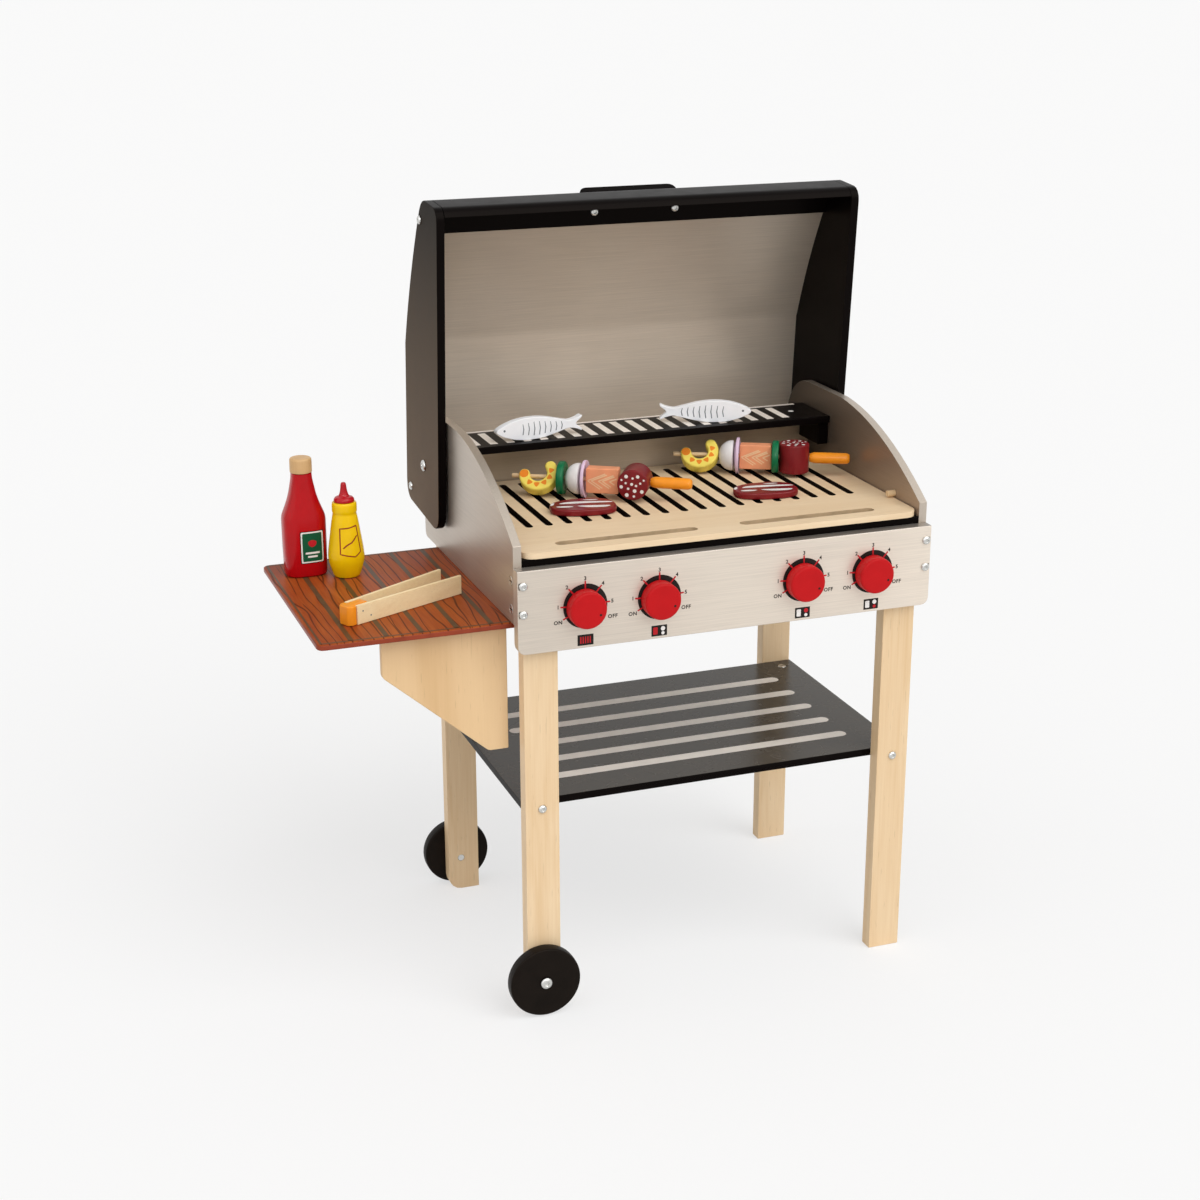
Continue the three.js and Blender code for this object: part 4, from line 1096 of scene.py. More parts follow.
@dataclass
class Firebox:
    """Side panels, back panel, floor, grill plate and rear rack."""

    width: float = BOX_WIDTH
    side_thickness: float = 7.0
    screw_heights: tuple[float, float] = SCREW_HEIGHTS
    nut_line: float = 17.3
    plate_margin: float = 18.0
    plate_back: float = 216.0
    grip_limit: float = 70.0
    rack_top: float = 451.0
    stripe_first: float = 26.0
    stripe_pitch: float = 15.4
    stripe_count: int = 20
    stripe_size: Spot = (7.0, 40.0)
    stripe_line: float = 210.0
    rear_stripe_middle: Spot = (183.0, 236.4)
    rear_stripe_size: Spot = (330.0, 4.6)
    plug: Spot = (333.0, 211.0)
    plug_radius: float = 2.6

    def build(self) -> None:
        """Dress the firebox."""
        # The side panels' inner faces take the darker silver of painted shade.
        painted_shade_lining = (SIDE_INSIDE_PAINTED_SHADE,)
        for node in ("left_side_panel", "right_side_panel"):
            board(node, SIDE_SILVER, "frame", "silver_paint", 0.8, others=painted_shade_lining, choose=self.painted_shade_inward)
        board("back_panel", BACK_SILVER, "frame", "silver_paint")
        board("firebox_floor", BLACK, "frame", "black_paint")
        # The plate's cut walls are painted dark: laser char and painted shade in the slots, painted shade
        # in the grips.
        cuts = (SLOT_CHAR_AND_SHADE, GRIP_PAINTED_SHADE)
        board("grill_plate", PLATE_BIRCH, "frame", "birch", 0.6, others=cuts, choose=self.in_cut)
        board("left_plate_peg", PEG_BIRCH, "frame", "birch", 0.3)
        board("right_plate_peg", PEG_BIRCH, "frame", "birch", 0.3)
        self.build_rack()
        self.build_nuts()

    def in_cut(self, middle: Vector, normal: Vector) -> int:
        """Tell the walls of the plate's cuts from its other faces, for their laser char and painted shade.

        Args:
            middle: The face's middle in bench millimetres.
            normal: Its normal.

        Returns:
            1 for a wall of a long slot, 2 for a wall of a grip and 0 for the rest.
        """
        across = self.plate_margin < middle.x < self.width - self.plate_margin
        along = self.plate_margin < middle.y < self.plate_back
        if abs(normal.z) > HALF_FACING or not across or not along:
            return 0
        return 1 if middle.y > self.grip_limit else 2

    def painted_shade_inward(self, middle: Vector, normal: Vector) -> int:
        """Give 1 for a side panel's face towards the plate, which is given painted shade."""
        half = self.width / 2
        return int(abs(normal.x) > FACING and abs(middle.x - half) < half - self.side_thickness / 2)

    def build_rack(self) -> None:
        """Dress the rack with its printed bars and its white plug."""
        for node in ("rear_rack", "left_rack_cleat", "right_rack_cleat"):
            board(node, BLACK, "frame", "black_paint")
        top = bench(0, 0, self.rack_top)
        bars = Print("rack_stripes", STRIPE_GREY, "frame", top)
        xs = [self.stripe_first + self.stripe_pitch * step for step in range(self.stripe_count)]
        bars.shapes(rounded_box(x, self.stripe_line, *self.stripe_size, 0.6) for x in xs)
        bars.shapes([rounded_box(*self.rear_stripe_middle, *self.rear_stripe_size, 0.4)]).done()
        plug = disc(*self.plug, self.plug_radius)
        Print("rack_plug", INK_WHITE, "frame", top).shapes([plug]).done()

    def build_nuts(self) -> None:
        """Put barrel nuts on the outer faces of the side panels."""
        places = []
        for x, facing in ((0.0, FACES_LEFT), (self.width, FACES_RIGHT)):
            places += [bench(x, self.nut_line, z) @ facing for z in self.screw_heights]
        barrel_nuts("panel_barrel_nuts", "frame", places)


class Sign(Enum):
    """The sign under a dial, named for its red part and numbered from the left."""

    BARS = 0
    BAR = 1
    UPPER_ROUND = 2
    LOWER_ROUND = 3


@dataclass
class ControlPanel:
    """The front panel with its printed dials and the four knobs."""

    width: float = BOX_WIDTH
    thickness: float = 10.0
    foot: float = 327.0
    top: float = 397.0
    screw_inset: float = 4.7
    screw_heights: tuple[float, float] = SCREW_HEIGHTS
    knobs: tuple[tuple[str, float], ...] = (
        ("left_outer_knob", 55.5),
        ("left_inner_knob", 119.0),
        ("right_inner_knob", 247.0),
        ("right_outer_knob", 310.5),
    )
    knob_height: float = 362.0
    knob_radius: float = 15.5
    knob_thickness: float = 12.0
    knob_gap: float = 0.8
    pointer: Spot = (9.6, -4.2)
    dial_radius: float = 18.7
    dial_offset: Spot = (1.0, 0.5)
    tick_ends: Spot = (-4.0, 1.9)
    tick_width: float = 1.3
    figure_size: float = 4.4
    figure_gap: float = 4.3
    word_gap: float = 7.2
    sign_drop: float = 28.7
    sign_size: Spot = (13.6, 9.2)
    marks: tuple[tuple[str, float], ...] = (
        ("ON", 207.0),
        ("1", 177.0),
        ("2", 132.0),
        ("3", 90.0),
        ("4", 49.0),
        ("5", 4.0),
        ("OFF", -26.0),
    )

    def build(self) -> None:
        """Dress the panel, its bolts, dials, signs and knobs."""
        keep = framed_box((0, 0, self.foot), (self.width, self.thickness, self.top))
        # The panel's upper edge takes the darker silver of painted shade.
        board(
            "control_panel",
            PANEL_SILVER,
            "frame",
            "silver_paint",
            keep=keep,
            others=(PANEL_TOP_PAINTED_SHADE,),
            choose=self.painted_shade_upper_edge,
        )
        xs = (self.screw_inset, self.width - self.screw_inset)
        heads = [bench(x, 0, z) @ FACES_FRONT for x in xs for z in self.screw_heights]
        Fastener().add("panel_bolt_heads", "frame", heads)
        for sign, (name, x) in zip(Sign, self.knobs):
            self.build_dial(sign, x)
            self.build_knob(name, x)

    @staticmethod
    def painted_shade_upper_edge(_middle: Vector, normal: Vector) -> int:
        """Give 1 for the panel's upper edge, which is given painted shade."""
        return int(normal.z > FACING)

    def build_dial(self, sign: Sign, x: float) -> None:
        """Print the ring, ticks, figures and sign round one knob.

        Args:
            sign: The sign under the dial.
            x: Where the knob is along the panel.
        """
        face = bench(x, 0, self.knob_height) @ FACES_FRONT @ shift(*self.dial_offset, 0)
        raised = face @ shift(0, 0, PRINT_HEIGHT)
        black = Print(f"dial_{sign.value}_black", INK_BLACK, "frame", face)
        plate = rounded_box(0, -self.sign_drop, *self.sign_size, 0.4)
        black.shapes([disc(0, 0, self.dial_radius, 64), plate])
        red = Print(f"dial_{sign.value}_red", INK_RED, "frame", raised)
        for text, degrees in self.marks:
            along = heading(degrees)
            if text != "OFF":
                start, end = (along * (self.dial_radius + reach) for reach in self.tick_ends)
                red.shapes([stroke(*start, *end, self.tick_width)])
            gap = self.figure_gap if len(text) == 1 else self.word_gap
            spot = along * (self.dial_radius + gap)
            letters(black.mesh, text, self.figure_size, black.place @ shift(spot.x, spot.y, 0))
        self.print_sign(sign, red, raised)
        black.done()
        red.done()

    def print_sign(self, sign: Sign, red: Print, face: Matrix) -> None:
        """Print a plain sign of bars, or of a bar and two rounds.

        Args:
            sign: Which sign it is.
            red: The dial's red print, which takes the red parts.
            face: Where the white parts are drawn.
        """
        y = -self.sign_drop
        if sign is Sign.BARS:
            red.shapes(rounded_box(x, y, 1.0, 5.8, 0.3) for x in (-4.0, -2.0, 0, 2.0, 4.0))
            return
        white = Print(f"dial_{sign.value}_white", INK_WHITE, "frame", face)
        shapes = {
            Sign.BAR: rounded_box(-3.4, y, 3.9, 6.2, 0.8),
            Sign.UPPER_ROUND: disc(3.2, y + 1.6, 1.9),
            Sign.LOWER_ROUND: disc(3.2, y - 2.3, 1.4),
        }
        for part, outline in shapes.items():
            (red if part is sign else white).shapes([outline])
        white.done()

    def build_knob(self, name: str, x: float) -> None:
        """Turn one knob and put its pointer dot on.

        Args:
            name: The knob's CAD node, which is also its body.
            x: Where it is along the panel.
        """
        radius, face = self.knob_radius, self.knob_thickness
        place = bench(x, -self.knob_gap, self.knob_height) @ FACES_FRONT
        profile = [(0, 0), (radius - 0.6, 0, 0.5), (radius, 0.6, 0.5), (radius, face - 0.2, 2.4)]
        profile += [(radius * 0.55, face, 3.0), (0, face)]
        knob = Piece(f"{name}_turned", KNOB_RED, name, "knob_red", (name,))
        knob.turned(eased(profile), place, 72).done()
        top = place @ shift(0, 0, face - 0.02)
        Print(f"{name}_pointer", INK_BLACK, name, top).shapes([disc(*self.pointer, 1.0)]).done()


@dataclass
class Hood:
    """The tilting hood, drawn about its pivot and leaning back a little.

    Attributes:
        pivot_y: Where the pivot is from front to back.
        pivot_z: The pivot's height.
        lean: How many degrees the open hood leans back.
        width: The firebox's width, which the side panels straddle.
        gap: The gap beside the firebox.
        thickness: The thickness of a side panel.
        rail_bolt: The place of the bolt into the rail, from the pivot.
        back_bar_bolt: The place of the bolt into the back bar.
        handle_bolts: Where the handle's bolts are across the hood.
        rail_face: Where the rail's front is.
        rail_depth: How thick the rail is.
        collar_gap: The gap between a side panel and its pivot's head.
    """

    pivot_y: float = 236.0
    pivot_z: float = 425.3
    lean: float = 4.5
    width: float = BOX_WIDTH
    gap: float = 2.3
    thickness: float = 7.0
    rail_bolt: Spot = (6.84, 215.85)
    back_bar_bolt: Spot = (44.1, -34.0)
    handle_bolts: tuple[float, float] = (145.5, 220.5)
    rail_face: float = 3.0
    rail_depth: float = 14.4
    collar_gap: float = 0.3

    @property
    def place(self) -> Matrix:
        """The hood's own place, in millimetres about its pivot."""
        return bench(0, self.pivot_y, self.pivot_z) @ turn(self.lean, Axis.X)

    def build(self) -> None:
        """Dress the hood's boards, sheet, bolts and pivots."""
        far = 400.0
        left = -self.gap - self.thickness
        right = self.width + self.gap
        for node, x in (("hood_left_panel", left), ("hood_right_panel", right)):
            keep = (Vector((x, -far, -far)), Vector((x + self.thickness, far, far)))
            # The outer faces take the lighter black of painted sheen, with painted shade towards the top.
            board(
                node,
                BLACK,
                "hood",
                "black_paint",
                edge=1.0,
                keep=keep,
                inside=self.place,
                others=(HOOD_SIDES_PAINTED_LIGHT,),
                choose=self.painted_light_outward,
            )
        board("hood_front_board", BLACK, "hood", "black_paint", 0.6)
        low, high = self.rail_face, self.rail_face + self.rail_depth
        rail = (Vector((-far, low, -far)), Vector((far * 2, high, far)))
        board("hood_rail", BLACK, "hood", "black_paint", 0.5, rail, self.place)
        board("hood_back_bar", BLACK, "hood", "black_paint", 0.3)
        board("hood_handle", BLACK, "hood", "black_paint", 2.0)
        board(
            "hood_sheet",
            HOOD_SILVER,
            "hood",
            "hood_paint",
            edge=0.0,
            others=(HOOD_OUTSIDE,),
            choose=self.backward,
        )
        heads = []
        for x, facing in ((left, FACES_LEFT), (right + self.thickness, FACES_RIGHT)):
            for spot in (self.rail_bolt, self.back_bar_bolt):
                heads.append(self.place @ shift(x, *spot) @ facing)
        for x in self.handle_bolts:
            heads.append(self.place @ shift(x, self.rail_face, self.rail_bolt[1]) @ FACES_FRONT)
        Fastener().add("hood_bolt_heads", "hood", heads)
        self.build_pivot("left_hood_pivot", left - self.collar_gap, FACES_LEFT)
        self.build_pivot("right_hood_pivot", right + self.thickness + self.collar_gap, FACES_RIGHT)

    def painted_light_outward(self, middle: Vector, normal: Vector) -> int:
        """Give 1 for a side panel's outer face, which is given painted sheen and shade."""
        beside = abs(middle.x - self.width / 2) - self.width / 2
        return int(abs(normal.x) > FACING and beside > self.gap + self.thickness / 2)

    @staticmethod
    def backward(_middle: Vector, normal: Vector) -> int:
        """Give 1 for the sheet's outer side, which slopes."""
        slope = 0.2
        return int(normal.y > slope)

    def build_pivot(self, node: str, x: float, facing: Matrix) -> None:
        """Turn one pivot bolt with its collar.

        Args:
            node: The CAD node it stands for.
            x: Where its head rests.
            facing: The way it points.
        """
        place = self.place @ shift(x, 0, 0) @ facing
        stem = [(0, -16.9), (3, -16.9), (3, -9.35), (7, -9.35), (7, -7.55), (3, -7.55), (3, 0)]
        head = [(4.7, 0), (5.1, 0.25), (5.0, 0.8), (4.5, 1.5), (3.5, 2.05), (2.3, 2.2), (2.0, 2.05)]
        pivot = Piece(f"{node}_bolt", ZINC, "frame", "zinc", (node,))
        pivot.turned([*stem, *head, (1.95, 0.9), (0, 0.8)], place, 48, 2.0).done()


@dataclass
class SideTable:
    """The table with its printed planks, and the bracket under it."""

    top: float = 349.5
    reach: float = 157.0
    front: float = 17.5
    back: float = 236.0
    stripes: tuple[float, ...] = (-129.5, -101.0, -72.5, -44.0, -15.5)
    stripe: float = 4.2
    border_inset: float = 3.6
    border: float = 1.9

    def build(self) -> None:
        """Dress the table and the bracket."""
        edge = (TABLE_EDGE,)
        board("side_table", TABLE_PLANKS, "frame", "redwood", 1.4, others=edge, choose=below_top)
        board("table_bracket", PLYWOOD, "frame", "plywood", 0.9)
        low_y = self.front + self.border_inset
        high_y = self.back - self.border_inset
        outer_x = -self.reach + self.border_inset
        middle = (low_y + high_y) / 2
        long, border = high_y - low_y, self.border
        lines = Print("table_plank_lines", TABLE_STRIPE, "frame", bench(0, 0, self.top), "redwood")
        lines.shapes(rounded_box(x, middle, self.stripe, long, 0.3) for x in self.stripes)
        lines.shapes([rounded_box(outer_x, middle, border, long + border, 0.3)])
        for y in (low_y, high_y):
            lines.shapes([rounded_box(outer_x / 2, y, -outer_x, border, 0.3)])
        lines.done()


@dataclass
class LowerShelf:
    """The shelf between the legs, with its printed bars and barrel nuts."""

    top: float = 190.0
    middle: float = 185.0
    bar_length: float = 281.0
    bar_width: float = 11.6
    bars: tuple[float, ...] = (63.4, 98.8, 134.5, 170.8, 206.8)
    nut_xs: tuple[float, float] = (21.8, 344.2)
    nut_ys: tuple[float, float] = (37.6, 238.2)

    def build(self) -> None:
        """Dress the shelf."""
        edge = (BLACK,)
        board("lower_shelf", SHELF_GREY, "frame", "shelf_paint", 0.7, others=edge, choose=below_top)
        top = bench(0, 0, self.top)
        bars = Print("shelf_stripes", STRIPE_GREY, "frame", top, "shelf_paint")
        size = (self.bar_length, self.bar_width, self.bar_width / 2 - 0.01)
        bars.shapes(rounded_box(self.middle, y, *size) for y in self.bars).done()
        nuts = [bench(x, y, self.top) for x in self.nut_xs for y in self.nut_ys]
        barrel_nuts("shelf_barrel_nuts", "frame", nuts)


@dataclass
class Wheels:
    """Two wheels on bolts through the left legs."""

    x: float = 19.3
    z: float = 32.0
    radius: float = 31.0
    thickness: float = 11.0
    bore: float = 3.4
    front_face: float = -1.5
    back_face: float = 277.3
    gap: float = 0.8
    stem: float = 24.5

    def build(self) -> None:
        """Turn the wheels and their axles, z pointing away from the legs."""
        thick, wide, bore, seat = self.thickness, self.radius, self.bore, self.gap
        tyre = [(bore, -thick), (wide - 0.2, -thick, 1.8), (wide, -thick * 0.5, 0.2)]
        tyre += [(wide - 0.2, 0, 1.8), (wide - 3.4, 0.0, 0.3), (bore, 0.0), (bore, -thick)]
        dome = ((4.8, 0), (5.1, 0.3), (5.0, 0.9), (4.4, 1.6), (3.3, 2.05), (2.3, 2.2), (2.0, 2.0))
        bolt = [(0, -self.stem), (3, -self.stem), (3, seat)]
        bolt += [(radius, height + seat) for radius, height in dome]
        bolt += [(1.95, seat + 0.8), (0, seat + 0.7)]
        rows = (("front", self.front_face, FACES_FRONT), ("back", self.back_face, FACES_BACK))
        for row, face, facing in rows:
            place = bench(self.x, face, self.z) @ facing
            body = f"{row}_wheel"
            wheel = Piece(f"{body}_turned", WHEEL_BLACK, body, "black_paint", (body,))
            wheel.turned(eased(tyre), place, 96).done()
            axle = Piece(f"{row}_axle_bolt", ZINC, "frame", "zinc", (f"{row}_axle",))
            axle.turned(bolt, place, 48, 2.0).done()


@dataclass
class Bottles:
    """The two sauce bottles.

    Attributes:
        table_top: The height they stand at.
        ketchup: Where the red bottle stands, and how far it is turned.
        ketchup_rings: Half width, half depth and height of its rings, from the foot up.
        ring_power: The power in the rings' equation; 2 would make them ovals.
        ketchup_cap: The foot and the top of its wooden cap.
        label_middle: The middle of its label.
        mustard: Where the yellow bottle stands.
        mustard_profile: Its radii and heights.
        mustard_cap: The foot of its red cap.
        sign_turn: How far the yellow bottle's print is turned.
        sign_lift: How far that print stands off the bottle.
    """

    table_top: float = 349.8
    ketchup: Point = (-126.0, 201.0, 2.0)
    ketchup_rings: tuple[Point, ...] = (
        (16.0, 11.6, 0.0),
        (17.4, 12.6, 0.8),
        (18.0, 13.1, 2.6),
        (18.5, 13.5, 25.0),
        (18.5, 13.5, 49.0),
        (18.1, 13.25, 52.0),
        (17.2, 12.8, 54.8),
        (15.5, 11.9, 59.0),
        (13.2, 10.9, 65.0),
        (11.3, 10.0, 71.5),
        (9.8, 9.1, 79.0),
        (8.8, 8.6, 84.5),
        (8.5, 8.5, 89.3),
    )
    ring_power: int = 3
    ketchup_cap: Spot = (89.6, 102.3)
    label_middle: Spot = (3.4, 26.6)
    mustard: Spot = (-94.0, 184.0)
    mustard_profile: tuple[Spot, ...] = (
        (0.0, 0.0),
        (9.9, 0.0),
        (11.0, 0.5),
        (11.8, 2.0),
        (13.4, 6.9),
        (14.9, 12.2),
        (15.4, 15.3),
        (15.5, 18.2),
        (15.1, 23.0),
        (14.4, 28.3),
        (13.2, 36.3),
        (11.6, 47.2),
        (10.4, 53.9),
        (10.1, 54.8),
        (10.15, 55.9),
        (10.5, 56.8),
        (10.6, 57.7),
        (10.6, 62.5),
        (10.35, 64.2),
        (9.8, 65.0),
        (0.0, 65.0),
    )
    mustard_cap: float = 65.3
    sign_turn: float = 2.0
    sign_lift: float = 0.12

    def build(self) -> None:
        """Build both bottles."""
        self.build_ketchup()
        self.build_mustard()

    def half_depth(self, x: float, height: float) -> float:
        """Measure from the red bottle's middle plane to its front.

        Args:
            x: The place across it.
            height: The height above its foot.

        Returns:
            The distance in millimetres.
        """
        rings = self.ketchup_rings
        below, above = rings[0], rings[-1]
        for low, high in zip(rings, rings[1:]):
            if low[2] <= height <= high[2]:
                below, above = low, high
        share = (height - below[2]) / (above[2] - below[2])
        wide = below[0] + (above[0] - below[0]) * share
        deep = below[1] + (above[1] - below[1]) * share
        power = self.ring_power
        return deep * (1 - min(1.0, abs(x) / wide) ** power) ** (1 / power)

    def build_ketchup(self) -> None:
        """Build the red bottle, its wooden cap and its label."""
        x, y, degrees = self.ketchup
        place = bench(x, y, self.table_top) @ turn(degrees, Axis.Z)
        bottle = Piece("ketchup_bottle_body", KETCHUP_RED, "ketchup", "ketchup_red", ("ketchup_bottle",))
        mesh = bottle.mesh
        sides = 72
        rows = []
        for wide, deep, height in self.ketchup_rings:
            row = []
            for side in range(sides):
                angle = TAU * side / sides
                across, along = rounded_square(angle, 2 / self.ring_power)
                row.append(mesh.verts.new(place @ Vector((wide * across, deep * along, height))))
            rows.append(row)
        bottle.join(rows)
        mesh.faces.new(rows[0][::-1])
        mesh.faces.new(rows[-1])
        bottle.done()
        foot, top = self.ketchup_cap
        profile = [(0, foot), (9.0, foot, 0.4), (9.4, foot + 0.6, 0.4), (9.3, top, 2.2), (0, top)]
        cap = Piece("ketchup_cap_turned", TURNED_BIRCH, "ketchup", "birch", ("ketchup_cap",))
        cap.turned(eased(profile), place, 56).done()
        self.build_label(place)

    def build_label(self, place: Matrix) -> None:
        """Lay the label over the red bottle, one colour on another.

        Args:
            place: The bottle's place.
        """
        middle, height = self.label_middle
        layers = (
            ("rim", INK_BLACK, 20.6, 28.4),
            ("border", INK_WHITE, 19.4, 27.2),
            ("field", INK_GREEN, 17.0, 24.8),
        )
        for step, (part, ink, wide, high) in enumerate(layers):
            outline = rounded_box(middle, height, wide, high, 1.0)
            self.lay(place, f"ketchup_label_{part}", ink, outline, 0.2 + 0.1 * step)
        top = 0.52
        fruit = [(0.4, 28.6), (3.4, 26.8), (6.4, 28.6), (6.8, 31.6), (3.4, 33.0), (0.0, 31.6)]
        self.lay(place, "ketchup_label_fruit", INK_RED, smoothed(fruit), top)
        for step, wide in enumerate((12.6, 8.6)):
            bar = rounded_box(middle, height - 5.0 - 3.2 * step, wide, 1.7, 0.5)
            self.lay(place, f"ketchup_label_bar_{step}", INK_WHITE, bar, top)

    def lay(self, place: Matrix, name: str, ink: Finish, outline: Outline, lift: float) -> None:
        """Lay a printed shape over the front of the red bottle.

        Args:
            place: The bottle's place.
            name: The shape's name.
            ink: Its finish.
            outline: Its points in order, across the bottle and up.
            lift: How far it stands off the bottle.
        """
        piece = Print(name, ink, "ketchup", Matrix.Identity(4))
        mesh = piece.mesh
        flat(mesh, outline, Matrix.Identity(4))
        bmesh.ops.triangulate(mesh, faces=mesh.faces)
        bmesh.ops.subdivide_edges(mesh, edges=mesh.edges, cuts=3, use_grid_fill=True)
        for vert in mesh.verts:
            x, height = vert.co.x, vert.co.y
            vert.co = place @ Vector((x, -self.half_depth(x, height) - lift, height))
        piece.done()

    def build_mustard(self) -> None:
        """Build the yellow bottle, its red cap and its printed sign."""
        place = bench(*self.mustard, self.table_top)
        node = "mustard_bottle"
        bottle = Piece(f"{node}_body", MUSTARD_YELLOW, "mustard", "mustard_yellow", (node,))
        bottle.turned(self.mustard_profile, place, 72).done()
        foot = self.mustard_cap
        profile = [(0, foot), (8.6, foot, 0.3), (8.75, foot + 2.2, 0.8), (7.4, foot + 3.9, 0.8)]
        profile += [(4.4, foot + 4.8, 1.2), (3.0, foot + 9.0, 2.0), (2.3, foot + 15.2, 1.2)]
        profile += [(1.6, foot + 16.5, 0.8), (0, foot + 16.5)]
        cap = Piece("mustard_cap_turned", CAP_RED, "mustard", "cap_red", ("mustard_cap",))
        cap.turned(eased(profile), place, 48).done()
        sign = [(-7.8, 44.2), (0.2, 44.8), (7.2, 46.0), (10.2, 23.4), (4.0, 19.8), (-8.8, 22.6)]
        self.band(place, "mustard_sign", sign, 1.1)
        sweep = [(-6.0, 27.6), (-2.4, 30.4), (1.6, 32.2), (7.0, 37.6)]
        self.band(place, "mustard_sweep", sweep, 1.2, closed=False)

    def band(
        self, place: Matrix, name: str, corners: Sequence[Spot], width: float, closed: bool = True
    ) -> None:
        """Draw a line round the yellow bottle.

        Args:
            place: The bottle's place.
            name: The line's name.
            corners: What it passes through, as arc length and height.
            width: Its width.
            closed: Whether it ends where it starts.
        """
        piece = Print(name, INK_BROWN, "mustard", Matrix.Identity(4))
        steps = 10
        count = len(corners)
        spots = []
        for index in range(count if closed else count - 1):
            start, end = Vector(corners[index]), Vector(corners[(index + 1) % count])
            spots += [start.lerp(end, step / steps) for step in range(steps)]
        if not closed:
            spots.append(Vector(corners[-1]))
        spun = place @ turn(self.sign_turn, Axis.Z)
        rims = []
        for index, spot in enumerate(spots):
            before = spots[index - 1] if closed or index else spot
            after = spots[(index + 1) % len(spots)] if closed or index + 1 < len(spots) else spot
            along = (after - before).normalized()
            side = Vector((-along.y, along.x)) * width / 2
            rim = (self.on_mustard(spot + side), self.on_mustard(spot - side))
            rims.append([piece.mesh.verts.new(spun @ corner) for corner in rim])
        for index in range(len(rims) if closed else len(rims) - 1):
            first, second = rims[index], rims[(index + 1) % len(rims)]
            piece.mesh.faces.new((first[0], first[1], second[1], second[0]))
        piece.done()

    def on_mustard(self, spot: Vector) -> Vector:
        """Wrap a flat spot round the front of the yellow bottle.

        Args:
            spot: Its arc length and height.

        Returns:
            The place on the bottle.
        """
        radius = 0.0
        for low, high in zip(self.mustard_profile, self.mustard_profile[1:]):
            if low[1] <= spot.y <= high[1] and high[1] > low[1]:
                radius = low[0] + (high[0] - low[0]) * (spot.y - low[1]) / (high[1] - low[1])
        angle = spot.x / radius - TAU / 4
        reach = radius + self.sign_lift
        return Vector((reach * math.cos(angle), reach * math.sin(angle), spot.y))


@dataclass
class Tongs:
    """Sprung plywood blades on an orange block.

    Attributes:
        place_on_table: Where the block's nose is.
        degrees: How far they are turned.
        height: The height of block and blades.
        block_half: Half the block's thickness between the blades.
        spread: How many degrees each blade stands out.
        blade: The thickness of a blade.
        length: Their whole length.
        nose: The length of the block's nose.
        block_end: Where the block ends between the blades.
        gap: The gap between block and blade.
        blade_gap: The gap between the nose and a blade's end.
        brads: Where a blade's brads are, past the nose and up.
    """

    place_on_table: Point = (-127.0, 57.0, 349.8)
    degrees: float = 28.0
    height: float = 16.0
    block_half: float = 4.5
    spread: float = 3.0
    blade: float = 2.6
    length: float = 118.0
    nose: float = 8.0
    block_end: float = 22.0
    gap: float = 0.3
    blade_gap: float = 0.4
    brads: tuple[Spot, Spot] = ((6.0, 10.5), (14.0, 5.2))

    def build(self) -> None:
        """Shape the nosed block and both blades, with two brads in each blade."""
        base = bench(*self.place_on_table) @ turn(self.degrees, Axis.Z)
        half, nose, gap = self.block_half, self.nose, self.gap
        wide = half + self.blade + gap
        outline = [(self.block_end, -half), (self.block_end, half), (nose, half), (nose, wide)]
        outline += [(nose * 0.45, wide), (gap, wide * 0.62), (gap, -wide * 0.62), (nose * 0.45, -wide)]
        outline += [(nose, -wide), (nose, -half)]
        block = Piece("tongs_block_shape", ORANGE, "tongs", "orange_paint", ("tongs_block",), 1.0)
        block.extruded(outline, self.height, base).done()
        start = nose + self.blade_gap
        middle, reach = (self.length + start) / 2, self.length - start
        front, back = ("tongs_front_blade", -1, FACES_FRONT), ("tongs_back_blade", 1, FACES_BACK)
        for node, way, facing in (front, back):
            hinge = base @ shift(0, way * (half + gap), 0) @ turn(way * self.spread, Axis.Z)
            strip = rounded_box(middle, way * self.blade / 2, reach, self.blade, 0.5)
            blade = Piece(f"{node}_board", BLADE_PLY, node, "plywood", (node,), 0.4)
            blade.extruded(strip, self.height, hinge).done()
            face = hinge @ shift(0, way * self.blade, 0) @ facing
            brads = [disc(-way * (nose + along), up, 0.7) for along, up in self.brads]
            Print(f"{node}_brads", INK_GREY, node, face).shapes(brads).done()


